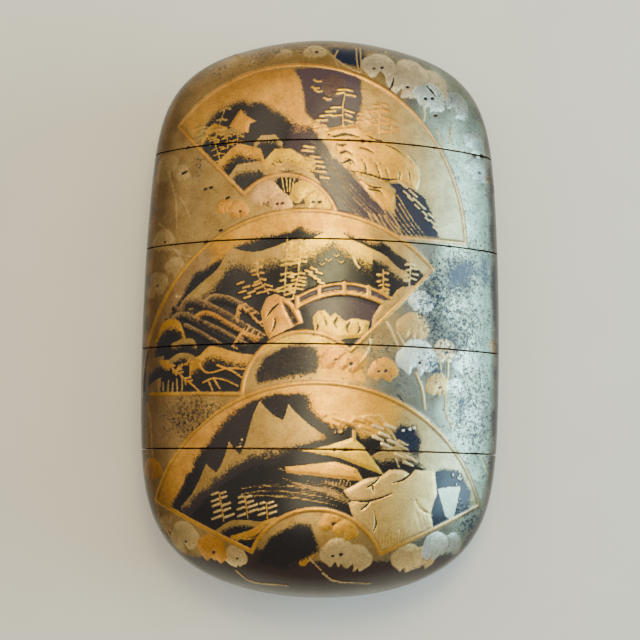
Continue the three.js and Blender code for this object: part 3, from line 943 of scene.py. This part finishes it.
# ----------------------------------------------------------------------
# The faces.

FANS = (
    (Fan((-5.2, 10), 0.4, 135.2, ((-4.2, 9.1), 26.9), ((-5.6, 10.8), 8.2)), river_scene, HONEY),
    (Fan((-2, -13.3), 45), bridge_scene, GOLD),
    (Fan((0, -39.5), 23, 134, ((0, -39.5), 28.1), ((0, -39.5), 10.1)), village_scene, GOLD),
)  # from the one behind to the one in front

# Blossoms round the fans: place, size, powder, tilt and dark specks. The pearl powder of the blossoms on the
# right is a painted reflection of cool light.
BLOSSOMS = (
    (-1.4, 38.3, 3.4, PALE, -6, 1), (-6, 38, 2.4, DULL, 0, 0), (21.6, 31.6, 5, PEARL, 45, 0),
    (17.4, 34.6, 5.6, CREAM, 30, 0), (13.6, 35.8, 6, CREAM, 14, 0), (8.4, 36.2, 5.6, CREAM, 4, 2),
    (12.4, 33.6, 5.6, CREAM, 24, 1), (16.6, 32, 5.4, PEARL, 20, 2), (24.8, 25.8, 4.6, PEARL, 50, 0),
    (25.2, 21.8, 4.6, PEARL, 30, 1), (28.6, 20.2, 3.4, DULL, 50, 0), (-25.6, 21.6, 5, DULL, -35, 0),
    (-22.4, 20.4, 3.2, DULL, 10, 1), (-14.6, 14.6, 2.8, ORANGE, -10, 0), (-12.4, 14, 3.4, ORANGE, 10, 1),
    (-25.4, 10.2, 4.4, DULL, 10, 1), (-23, 6, 3.8, DULL, 25, 0), (-26.6, 3.6, 4.6, DULL, -10, 1),
    (15.2, 0.8, 4, PEARL, 20, 0), (13.8, -2.9, 5, DULL, 0, 0), (19, -6.2, 4.2, CREAM, 0, 1),
    (14.5, -7.4, 6.4, PEARL, -6, 1), (9.4, -9.4, 4.4, ORANGE, -6, 2), (17.9, -11.2, 4, DULL, -10, 1),
    (21, -11.4, 3.2, PEARL, 10, 0), (23, -7.4, 4.8, PEARL, 0, 0), (24.6, -15.2, 5.2, PEARL, 20, 0),
    (29, -5, 3.4, DULL, 30, 0), (-26.6, -24, 4, ORANGE, 0, 0), (-24.4, -32.4, 3.8, DULL, -25, 0),
    (-20.8, -33.8, 5.6, PALE, -12, 1), (-11.9, -36.3, 3.8, PALE, 15, 1), (-15.8, -35.3, 5, ORANGE, 8, 1),
    (-2.6, -35.7, 4.6, GOLD, -6, 1), (5.8, -36.2, 4.6, PALE, 12, 0), (3.2, -35.6, 5.2, PALE, -6, 2),
    (16.4, -36.2, 4.2, PALE, 8, 0), (13.6, -36.2, 5, PALE, -10, 0), (21.4, -34.2, 4, PEARL, 15, 0),
    (18.3, -34.4, 4.8, PEARL, -16, 0),
)
HOLE_BLOSSOMS = (
    (-8.2, 16.2, 4.6, AMBER, -15, 0), (-6, 14.9, 3.4, AMBER, 5, 2), (-2.6, 16.4, 4, BRIGHT, -5, 0),
    (-0.6, 15.2, 4, BRIGHT, 20, 2), (2.2, -7.8, 3.8, ORANGE, -10, 1), (4.4, -8.6, 3.4, ORANGE, 15, 1),
    (2.2, -31.2, 3.6, GOLD, -10, 1), (4.2, -32.2, 3.6, GOLD, 15, 0),
)  # inside the fans' inner arcs
STEMS = (
    ((0.2, 38.5), (2.4, 36.4), (5.4, 34.8)), ((2, 38.6), (1.6, 37.2), (2.2, 35.6)),
    ((4.8, 39.4), (4.9, 37), (5.2, 35)), ((5.4, 39.4), (5.5, 37), (5.6, 35)),
    ((15.2, 31.4), (15.6, 29.6), (15.4, 28)), ((17.6, 27), (18.6, 25.4), (19, 24)),
    ((20.2, 27.6), (20, 25.6), (20.6, 24)), ((-24.6, 19.6), (-23.4, 16.4), (-23, 12)),
    ((-23.6, 17.4), (-21.8, 15.6), (-20.6, 13.4)), ((-26.6, 13), (-25, 11.8), (-24.2, 9.8)),
    ((-24.4, 9.6), (-21.8, 7.8), (-20, 7.4)), ((-21.6, 6.6), (-23, 8.4), (-25.8, 9)),
    ((9.8, -2.4), (10.8, -4.2), (11.6, -6)), ((11.4, -3.8), (12.2, -5.2), (12.8, -6.2)),
    ((7.6, -5), (6.8, -7.4), (5.4, -9)), ((14.4, -9.6), (15.4, -12), (15.8, -14.8)),
    ((18.2, -6.6), (18.4, -8.6), (18.6, -10)), ((19.6, -7), (19.6, -9.6), (19.2, -13.6)),
    ((19.2, -12.6), (19.4, -15.4), (20.6, -17.6)), ((26, -21.4), (27, -23.2), (28.2, -25)),
    ((-27.6, -14.2), (-26.8, -17.4), (-26.4, -22)), ((-25.4, -30.4), (-25.8, -32), (-24.8, -33.4)),
    ((-22.8, -30.8), (-23.2, -32), (-22.8, -33)), ((-2.4, -34.2), (-0.6, -36.6), (0.8, -38)),
    ((-12, -38.4), (-9.6, -40), (-4, -40.4)), ((3.4, -33), (4.2, -31.4), (4, -30.4)),
    ((1, -38.4), (3, -39.6), (8, -39.9)), ((9.6, 39.6), (9.4, 38.4), (9.5, 37.4)),
    ((-11, 37), (-10.4, 36), (-10.2, 35.2)), ((-15.4, 40), (-13.8, 38.6), (-13, 38)),
)


SIDE_DARK_WIDTH = 4.2  # mm from the middle of each side
SIDE_SHADE = 0.62  # how much darker the gold gets towards the sides, painted shade
END_SHADE = 0.5  # and towards the ends
END_DARK_FROM = 38.6
SMALLEST_HALF = 0.05


def old_gold(p):
    """Worn gold round the fans, dark at both ends: browner on the left as painted shade, and paled to silver
    at the far right as a painted reflection of cool light.
    """
    u, v = p.spots.T
    every = np.arange(len(u))
    patches = lattice_noise(p.spots, 5.0, seed=11) - 0.5
    # Painted light in the tone: bronze to the left is painted shade, and silver at the far right is a painted
    # reflection of cool light, with grey between.
    right = ramp(u + 8 * patches, 4, 9)[:, None]
    far_right_cool_reflection = ramp(u + 6 * patches + 0.12 * np.maximum(v - 10, 0), 17.5, 4.5)[:, None]
    left = ramp(5 * patches - u, 12, 16)[:, None]
    tone = np.array(OLIVE) + (np.array(BRONZE) - OLIVE) * left + (np.array(GREY) - OLIVE) * right
    tone = tone + (np.array(SILVER) - GREY) * far_right_cool_reflection
    top = ramp(v + 3 * patches, 36, 3)
    bottom = ramp(3 * patches - v + 0.14 * np.maximum(u - 16, 0), 35, 1.6)
    p.lay(every, np.ones(len(u)), 1 - 0.45 * top - 0.95 * bottom, tone, BLACK)
    p.ground[:] = np.array(BLACK) + (np.array(BLUE) - BLACK) * right
    p.ground += (np.array(BROWN) - p.ground) * np.maximum(top, bottom)[:, None]
    p.worn[:] = 0.10 + 0.12 * np.clip(2 * patches, 0, 1) + 0.25 * top + 0.10 * right[:, 0]


def open_section(y):
    """The oval at level y, kept from closing to a point at the tips."""
    return (np.maximum(half, SMALLEST_HALF) for half in section(y))


def quarter_girth(along):
    """The way over the surface from the middle of a face to the middle of a side, at given levels."""
    half_width, half_depth = open_section(along)
    side_radius, face_radius, meeting = arcs(half_width, half_depth)
    return face_radius * (math.pi / 2 - meeting) + side_radius * meeting


def sides_with_painted_shade(p):
    """The gold darkens towards the sides, a painted shade, and towards the ends; near the middle of each side
    the powder gives way to bare lacquer.
    """
    across, along = p.spots.T
    from_side = quarter_girth(along) - np.abs(across) + 1.6 * (lattice_noise(p.spots, 2.2, seed=41) - 0.5)
    # Painted shade: darker gold towards the sides.
    p.tone *= 1 - SIDE_SHADE * ramp(-from_side, -2.2 * SIDE_DARK_WIDTH, SIDE_DARK_WIDTH)[:, None]
    p.tone *= 1 - END_SHADE * ramp(np.abs(along), END_DARK_FROM, 2.5)[:, None]
    p.lay(np.arange(len(across)), ramp(-from_side, -SIDE_DARK_WIDTH, 2.2), BARE, COPPER, BLACK)


def front_wear(p):
    """Where hands and the cord have rubbed the front."""
    for centre, reach, amount in (
        ((21.5, 5), (6, 6), 0.64), ((24, -14), (7, 12), 0.46), ((21, -3), (7, 8), 0.54),
        ((17.5, 1), (5, 11), 0.62), ((-19.5, -16.5), (9, 5.5), 0.58), ((9, -6), (4, 5), 0.4),
        ((17, -8), (4, 5), 0.45), ((20, 32), (5, 3), 0.4), ((12, -11), (4, 4), 0.42),
        ((25, -31), (5, 4), 0.55), ((-19.5, 21), (2.4, 3), 0.4), ((-25, 14), (4, 4), 0.3),
        ((-3.5, -8.6), (5, 4), 0.5), ((2.6, -13.8), (2.6, 2.4), 0.28), ((-17, 36), (8, 3), 0.4),
        ((23, 30), (6, 5), 0.3), ((21, 20), (3, 5), 0.25),
    ):
        p.wear(centre, reach, amount)
    p.sprinkle([
        (-8.4, -7), (-5.6, -5), (-2.6, -4.3), (1, -4.8), (2.6, -6), (-2.4, -5.4), (-6, -6.2),
    ], BRIGHT, 1, 0.4)
    p.darken([
        (-9.4, -10.4), (-8, -7.8), (-5.4, -6.3), (-2.4, -5.9), (-0.4, -6.3), (0.2, -8), (-0.4, -10.2),
        (-3.6, -10.6), (-9, -11.8),
    ], 0.5, SOOT, 0.2)
    p.sprinkle([(0.6, -6.2), (6.2, -7.6), (6, -10.8), (0.6, -10.6)], GOLD, 1, 1)
    p.darken([
        (-10.6, 15), (-9, 17.4), (-4.5, 18.9), (-0.4, 18), (2.6, 15.4), (-1, 14.6), (-6, 13.8),
    ], 0.6, BROWN, 0.25)
    p.darken([(-7.4, 17.4), (-6.2, 18.6), (-3.8, 18.5), (-3, 17), (-4.4, 15.4), (-6.4, 16.4)], 0.3)
    for u, v, lean in ((-5.9, 18.6, 0.5), (-5.3, 18.9, 0.3), (-4.6, 18.8, -0.1), (-4, 18.7, -0.4)):
        p.stroke([(u, v), (u + lean, v - 2.4)], 0.16, BRIGHT, relief=0.05)
    p.darken([(-6.8, -33.4), (-2.6, -31.2), (-0.6, -31.8), (0.6, -35.4), (-4, -38), (-9, -37.4)], 0.6, BLACK)
    for wash in (
        [(19.2, 5.4), (21.4, 7.6), (24.6, 8), (24.8, 6.2), (23.2, 4.8), (21.2, 3.2), (18.8, 3.4)],
        [(25.4, 9), (27.4, 8.6), (27.6, 4), (25.8, 3.4), (25.2, 6)], [(22.6, 2.4), (24, 1.8), (23.4, 0.4)],
        [(17.6, -6.8), (19, -9.6), (16.8, -9.6), (15.6, -8.2)],
        [(21.6, -12), (23.6, -13.4), (22, -17.6), (20.4, -15)], [(19.8, 34), (22, 32.4), (20, 31.6)],
    ):
        p.darken(wash, 0.9, NAVY, 0.42)
    for spot in (
        (-18.2, 17.4), (-17.2, 17.6), (-14.4, 15.8), (-15.4, 11), (-21.9, 20.4), (17.3, 29.2), (-15.8, 33),
    ):
        p.stroke([spot, np.add(spot, (0.4, 0.1))], 0.42, gold=0.05, relief=-0.03)
    for path, width, left in (
        ([(-17.6, 17.6), (-16.4, 17.2), (-15.6, 16.2)], 0.2, 0.15),
        ([(10.6, 34.6), (10.4, 33.4), (9.9, 32.4)], 0.34, 0.05), ([(9.4, 31.6), (8.8, 30.6)], 0.22, 0.15),
        ([(11.4, -12.8), (12.5, -13.9)], 0.3, 0.05), ([(23.4, 0.6), (24.8, -0.6), (26, -2)], 0.2, 0.2),
        ([(16, 33.9), (16.8, 33.2), (17.6, 32.4)], 0.5, 0.1),
    ):
        p.scratch(curve(path), width, left)


def paint_front(p):
    old_gold(p)
    p.darken([(1, 39), (5.8, 39), (6.6, 37), (5.4, 35.6), (2.6, 36), (1.4, 37.2)], 0.5, BLUE)
    for u, v, size, tone, tilt, specks in BLOSSOMS:
        blossom(p, (u, v), size, tone, tilt, specks)
    for path in STEMS:
        stem(p, path, PALE if path[0][0] > -3 else DULL)
    front_wear(p)
    for u, v, size, tone, tilt, specks in HOLE_BLOSSOMS:
        blossom(p, (u, v), size, tone, tilt, specks)
    for fan, scene, tone in FANS:
        fan.paint(p, scene, tone)
    sides_with_painted_shade(p)


def paint_back(p):
    """The back, plainer: worn gold with one fan, and blossoms on long stems."""
    old_gold(p)
    for u, v, size, tone, tilt, specks in BLOSSOMS[::2]:
        blossom(p, (-u, -v), size, tone, tilt, specks)
    for path in STEMS[::2]:
        stem(p, -np.array(path), ORANGE)
    fan = Fan((3, -12), 28, 124, ((3, -12), 28))
    fan.paint(p, back_scene, GOLD)
    sides_with_painted_shade(p)


def back_scene(p, fan):
    """Hills and pines above water."""
    fan.haze(p, fan.start - 5, fan.end + 5, 3, 2, GOLD)
    ridge(p, [
        (-22, -2), (-14, 2.4), (-10, 6.4), (-7.6, 4.6), (-4.5, 10.8), (-1.6, 7.2), (1.5, 9), (5, 4.4),
        (12, 0),
    ], [(-22, -4), (-10, 1), (0, 3), (12, -2)])
    hill(p, [(4, 1.6), (9, 4), (14, 4.8), (20, 2.4), (25, 3)], 2.6, GOLD)
    for u, v in ((-17, -3), (-13.6, -1.8), (9, 2), (17.5, 1.6)):
        pine(p, [(u, v), (u + 0.5, v + 2.4), (u + 0.1, v + 5.2)], 7, 1.9)
    flow(p, [(-20, -4), (-8, -1.6), (4, -0.6), (22, 0.4)], 2.6, 50, BRONZE, 0.12)
    rock(p, [
        (-6, -2.6), (-4, 0.2), (-0.6, 1), (2.6, -0.6), (4.6, -2.6), (2, -3.2), (-3, -3.4),
    ], [
        [(-3.4, -1.8), (-1.6, -0.6), (-0.8, 0.6)], [(0.6, -2.4), (2, -1.4)],
    ], ORANGE)


# ----------------------------------------------------------------------
# From the painting to the pieces.

SKIN = 0.6  # how deep under the form's outside a vertex may lie and still be painted


def unroll(points):
    """Where points lie on the unrolled faces, and whether they are on the outside and at the front."""
    x, y, z = points.T
    z = z - MIDDLE_Z
    half_width, half_depth = open_section(y)
    side_radius, face_radius, meeting = arcs(half_width, half_depth)
    face_half = math.pi / 2 - meeting
    from_face = np.arctan2(np.abs(x), np.abs(z) - half_depth + face_radius)
    from_side = np.arctan2(np.abs(z), np.abs(x) - half_width + side_radius)
    on_face = from_face <= face_half
    past_face = face_radius * face_half + side_radius * (meeting - from_side)
    across = np.where(on_face, face_radius * from_face, past_face)
    face_distance = np.hypot(x, np.abs(z) - half_depth + face_radius) - face_radius
    side_distance = np.hypot(np.abs(x) - half_width + side_radius, z) - side_radius
    outside = np.where(on_face, face_distance, side_distance) > -SKIN
    outside |= np.abs(y) > LENGTH / 2 - 1  # the tips, where the oval closes
    return np.stack([np.copysign(across, x), y], axis=1), outside, z >= 0


def new_mesh(name, vertices, faces):
    mesh = bpy.data.meshes.new(name)
    mesh.from_pydata((vertices * MM).tolist(), [], faces)
    mesh.update()
    made = bpy.data.objects.new(name, mesh)
    bpy.context.scene.collection.objects.link(made)
    return made


def with_channels(piece):
    """Cuts the two cord channels through a piece."""
    cutters = []
    for x in (-CHANNEL_X, CHANNEL_X):
        bpy.ops.mesh.primitive_cylinder_add(
            vertices=CHANNEL_SIDES, radius=CHANNEL_RADIUS * MM, depth=2 * LENGTH * MM,
            location=(x * MM, 0, MIDDLE_Z * MM), rotation=(math.pi / 2, 0, 0),
        )
        cutters.append(bpy.context.object)
        cut = piece.modifiers.new("channel", "BOOLEAN")
        cut.operation, cut.solver, cut.object = "DIFFERENCE", "MANIFOLD", cutters[-1]
    shown = piece.evaluated_get(bpy.context.evaluated_depsgraph_get())
    whole = piece.data
    piece.data = bpy.data.meshes.new_from_object(shown)
    piece.modifiers.clear()
    bpy.data.meshes.remove(whole)
    for cutter in cutters:
        bpy.data.objects.remove(cutter)
    return piece


def get_points(mesh):
    flat = np.zeros(len(mesh.vertices) * 3, np.float32)
    mesh.vertices.foreach_get("co", flat)
    return flat.reshape(-1, 3).astype(float) / MM


def set_values(mesh, name, values):
    """Keeps a number or a colour on each vertex."""
    if values.ndim == 1:
        mesh.attributes.new(name, "FLOAT", "POINT").data.foreach_set("value", values.astype(np.float32))
        return
    colours = np.hstack([values, np.ones((len(values), 1))]).astype(np.float32)
    mesh.attributes.new(name, "FLOAT_COLOR", "POINT").data.foreach_set("color", colours.ravel())


# The inside's finish: sparse powder in red-brown lacquer.
NASHIJI = {"gold": 0.42, "tone": ORANGE, "ground": (0.10, 0.025, 0.012), "relief": 0.0, "worn": 0.0}


def worn_rims(p):
    """Chips and bare lacquer where the pieces meet."""
    across, along = p.spots.T
    nearest = np.min([np.abs(along - seam) for seam in SEAMS], axis=0)
    stretched = p.spots * [1, 0.5]
    chips = lattice_noise(stretched, 0.35, seed=21) + 0.5 * lattice_noise(stretched, 3.0, seed=22)
    chips = chips + 0.15 * ((across > 6) & (along > SEAMS[-1] - 1))
    reach = 0.02 + 0.55 * np.clip(chips - 1.05, 0, 1)
    rim = np.flatnonzero(nearest < 1)
    bare = covered(nearest[rim] - SHOWN_SEAM / 2 - reach[rim], 0.12)
    p.lay(rim, bare, 0.12, BRONZE, BROWN, -0.12 * np.clip(2.5 * reach[rim], 0, 1))


def paint_pieces(pieces):
    """Paints both faces over all the pieces at once, and then raises each piece's relief."""
    points = [get_points(piece.data) for piece in pieces]
    spots, outside, front = (np.concatenate(part) for part in zip(*map(unroll, points)))
    fields = {
        "gold": np.zeros(len(spots)), "worn": np.zeros(len(spots)), "relief": np.zeros(len(spots)),
        "tone": np.zeros((len(spots), 3)), "ground": np.zeros((len(spots), 3)),
    }
    for name, field in fields.items():
        field[:] = NASHIJI[name]
    for side, paint in ((front, paint_front), (~front, paint_back)):
        here = np.flatnonzero(side & outside)
        p = Painting(spots[here])
        paint(p)
        worn_rims(p)
        for name, field in fields.items():
            field[here] = getattr(p, name)
    start = 0
    for piece, own in zip(pieces, points):
        part = slice(start, start + len(own))
        start += len(own)
        raise_relief(piece.data, own, fields["relief"][part])
        for name in ("gold", "worn", "tone", "ground"):
            set_values(piece.data, name, fields[name][part])


def raise_relief(mesh, points, relief):
    """Moves each vertex out by the relief there. The flat strip along the back stays on the floor."""
    normals = np.zeros(len(mesh.vertices) * 3, np.float32)
    mesh.vertex_normals.foreach_get("vector", normals)
    moved = points + normals.reshape(-1, 3) * relief[:, None]
    moved[:, 2] = np.maximum(moved[:, 2], 0)
    mesh.vertices.foreach_set("co", (moved * MM).astype(np.float32).ravel())
    mesh.update()


# ----------------------------------------------------------------------
# The lacquer.

COLOUR_MIX_INPUTS = (0, 6, 7)  # the Mix node's factor, A and B for colours
COLOUR_MIX_RESULT = 2


class Nodes:
    """Short ways to build a material's nodes."""

    def __init__(self, name):
        self.material = bpy.data.materials.new(name)
        self.material.use_nodes = True
        self.tree = self.material.node_tree
        self.shader = self.tree.nodes["Principled BSDF"]
        self.place = self.tree.nodes.new("ShaderNodeTexCoord").outputs["Object"]

    def attribute(self, name, output="Fac"):
        """A number, or with the output Color a colour, that is kept on the vertices."""
        node = self.tree.nodes.new("ShaderNodeAttribute")
        node.attribute_name = name
        return node.outputs[output]

    def noise(self, size, detail, roughness=0.5):
        """Noise with features of a size in millimetres."""
        node = self.tree.nodes.new("ShaderNodeTexNoise")
        node.inputs["Scale"].default_value = 1 / (size * MM)
        node.inputs["Detail"].default_value = detail
        node.inputs["Roughness"].default_value = roughness
        self.tree.links.new(self.place, node.inputs["Vector"])
        return node.outputs["Fac"]

    def remap(self, value, low, high, to_low=0.0, to_high=1.0):
        node = self.tree.nodes.new("ShaderNodeMapRange")
        limits = {"From Min": low, "From Max": high, "To Min": to_low, "To Max": to_high}
        for socket, number in limits.items():
            node.inputs[socket].default_value = number
        self.tree.links.new(value, node.inputs["Value"])
        return node.outputs["Result"]

    def math(self, operation, first, second):
        node = self.tree.nodes.new("ShaderNodeMath")
        node.operation = operation
        for socket, value in zip(node.inputs, (first, second)):
            self.fill(socket, value)
        return node.outputs["Value"]

    def mix(self, share, first, second, blend="MIX"):
        node = self.tree.nodes.new("ShaderNodeMix")
        node.data_type, node.blend_type = "RGBA", blend
        for socket, value in zip(COLOUR_MIX_INPUTS, (share, first, second)):
            self.fill(node.inputs[socket], value)
        return node.outputs[COLOUR_MIX_RESULT]

    def fill(self, socket, value):
        """Gives a socket a link, a colour or a number."""
        if isinstance(value, bpy.types.NodeSocket):
            self.tree.links.new(value, socket)
        else:
            socket.default_value = (*value, 1) if isinstance(value, tuple) else value

    def link(self, value, socket):
        self.tree.links.new(value, self.shader.inputs[socket])


def gold_lacquer():
    """Gold powder in dark lacquer: grains by a threshold, rubbed patches, and a thin clear coat."""
    n = Nodes(SLOT)
    grain = n.remap(n.noise(0.10, 2.0, 0.6), 0.28, 0.72)
    coarse = n.remap(n.noise(0.32, 3.0, 0.6), 0.28, 0.72)
    powder = n.math("ADD", n.math("MULTIPLY", grain, 0.6), n.math("MULTIPLY", coarse, 0.4))
    shown = n.remap(n.math("SUBTRACT", n.attribute("gold"), powder), -0.10, 0.12)
    rubbing = n.remap(n.noise(0.5, 6.0, 0.85), 0.34, 0.64)
    rubbed = n.remap(n.math("SUBTRACT", n.attribute("worn"), rubbing), -0.20, 0.14)
    gold = n.math("MULTIPLY", shown, n.math("SUBTRACT", 1.0, rubbed))
    cloud = n.noise(2.4, 6.0, 0.68)
    speck = n.remap(n.noise(0.5, 5.0, 0.75), 0.52, 0.74)
    clouded = n.remap(cloud, 0.36, 0.66, 0.0, 0.75)
    tone = n.mix(clouded, n.attribute("tone", "Color"), (0.56, 0.50, 0.44), "MULTIPLY")
    tone = n.mix(n.math("MULTIPLY", speck, 0.6), tone, (0.30, 0.25, 0.24), "MULTIPLY")
    pits = n.remap(n.noise(0.2, 3.0, 0.7), 0.50, 0.72)
    tone = n.mix(n.math("MULTIPLY", pits, 0.7), tone, (0.42, 0.36, 0.32), "MULTIPLY")
    n.link(n.mix(gold, n.attribute("ground", "Color"), tone), "Base Color")
    n.link(n.math("MULTIPLY", gold, 0.96), "Metallic")
    n.link(n.math("ADD", n.remap(gold, 0, 1, 0.22, 0.28), n.remap(cloud, 0.3, 0.7, 0.0, 0.10)), "Roughness")
    n.shader.inputs["Specular IOR Level"].default_value = 0.36
    n.shader.inputs["Coat Weight"].default_value = 0.08
    n.shader.inputs["Coat Roughness"].default_value = 0.16
    bump = n.tree.nodes.new("ShaderNodeBump")
    bump.inputs["Strength"].default_value = 0.55
    bump.inputs["Distance"].default_value = 0.02 * MM
    height = n.math("MULTIPLY", gold, n.math("ADD", 0.5, n.math("MULTIPLY", grain, 0.8)))
    n.tree.links.new(height, bump.inputs["Height"])
    n.link(bump.outputs["Normal"], "Normal")
    return n.material


def floor_material():
    n = Nodes("pale_floor")
    patches = n.remap(n.noise(14.0, 3.0), 0.3, 0.7)
    n.link(n.mix(patches, (0.80, 0.78, 0.75), (0.83, 0.81, 0.78)), "Base Color")
    n.shader.inputs["Roughness"].default_value = 0.8
    return n.material


# ----------------------------------------------------------------------
# Camera, floor and light.

CAMERA_LENS = 78.7
CAMERA_PLACE = (2.8, -28.3, 212.1 + MIDDLE_Z)
CAMERA_TURN = (7.40, 0.66, 0.95)  # degrees
FLOOR_SIZE = 3.0  # metres
LIT_HEIGHT = 12  # the height over the floor that every light faces


def add_camera():
    """Above the face and a little towards the base, as someone sees it who looks down on the case."""
    camera = bpy.data.objects.new("camera", bpy.data.cameras.new("camera"))
    bpy.context.scene.collection.objects.link(camera)
    camera.data.lens = CAMERA_LENS
    camera.data.sensor_width = 36
    camera.data.clip_start = 0.01
    camera.location = Vector(CAMERA_PLACE) * MM
    camera.rotation_euler = Euler(map(math.radians, CAMERA_TURN), "YXZ")
    bpy.context.scene.camera = camera


def add_floor():
    bpy.ops.mesh.primitive_plane_add(size=FLOOR_SIZE)
    floor = bpy.context.object
    floor.name = "floor"
    floor.data.materials.append(floor_material())


def add_light(name, place, size, power, colour):
    """A soft panel of light that faces the case; place and size in millimetres."""
    light = bpy.data.lights.new(name, "AREA")
    light.shape, light.size, light.size_y = "RECTANGLE", size[0] * MM, size[1] * MM
    light.energy, light.color = power, colour
    panel = bpy.data.objects.new(name, light)
    panel.location = Vector(place) * MM
    towards = Vector((0, 0, LIT_HEIGHT)) * MM - panel.location
    panel.rotation_euler = towards.to_track_quat("-Z", "Y").to_euler()
    bpy.context.scene.collection.objects.link(panel)


def add_lights():
    add_light("overhead", (20, 42, 300), (75, 330), 0.42, (1.0, 0.88, 0.56))
    add_light("left_panel", (-180, 0, 300), (170, 400), 0.075, (1.0, 0.86, 0.62))
    add_light("upper_left_panel", (-165, 135, 300), (240, 100), 0.15, (1.0, 0.86, 0.60))
    add_light("upper_right_panel", (235, 135, 300), (220, 110), 0.15, (1.0, 0.95, 0.84))
    add_light("glint", (-364, 122, 203), (44, 44), 0.035, (0.90, 1.0, 0.84))
    add_light("warm_panel", (20, 66, 300), (60, 60), 0.24, (1.0, 0.88, 0.34))
    add_light("window", (420, 10, 165), (300, 200), 2.1, (0.50, 0.84, 1.0))
    world = bpy.data.worlds.new("studio")
    world.use_nodes = True
    world.node_tree.nodes["Background"].inputs["Color"].default_value = (1.0, 0.95, 0.90, 1)
    world.node_tree.nodes["Background"].inputs["Strength"].default_value = 0.38
    bpy.context.scene.world = world


# ----------------------------------------------------------------------
# The case.


def add_pieces():
    solids = [base_solid(SEAMS[0]), *map(tray_solid, SEAMS, SEAMS[1:]), lid_solid(SEAMS[-1])]
    pieces = [with_channels(new_mesh(f"{name}_lacquer", *solid)) for name, solid in zip(PIECES, solids)]
    paint_pieces(pieces)
    lacquer = gold_lacquer()
    for name, piece in zip(PIECES, pieces):
        piece.data.materials.clear()
        piece.data.materials.append(lacquer)
        piece.data.shade_smooth()
        piece.data.set_sharp_from_angle(angle=math.radians(SHARPEST_SMOOTH))
        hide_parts(name)
        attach(piece, BODY)


add_camera()
add_floor()
add_lights()
add_pieces()
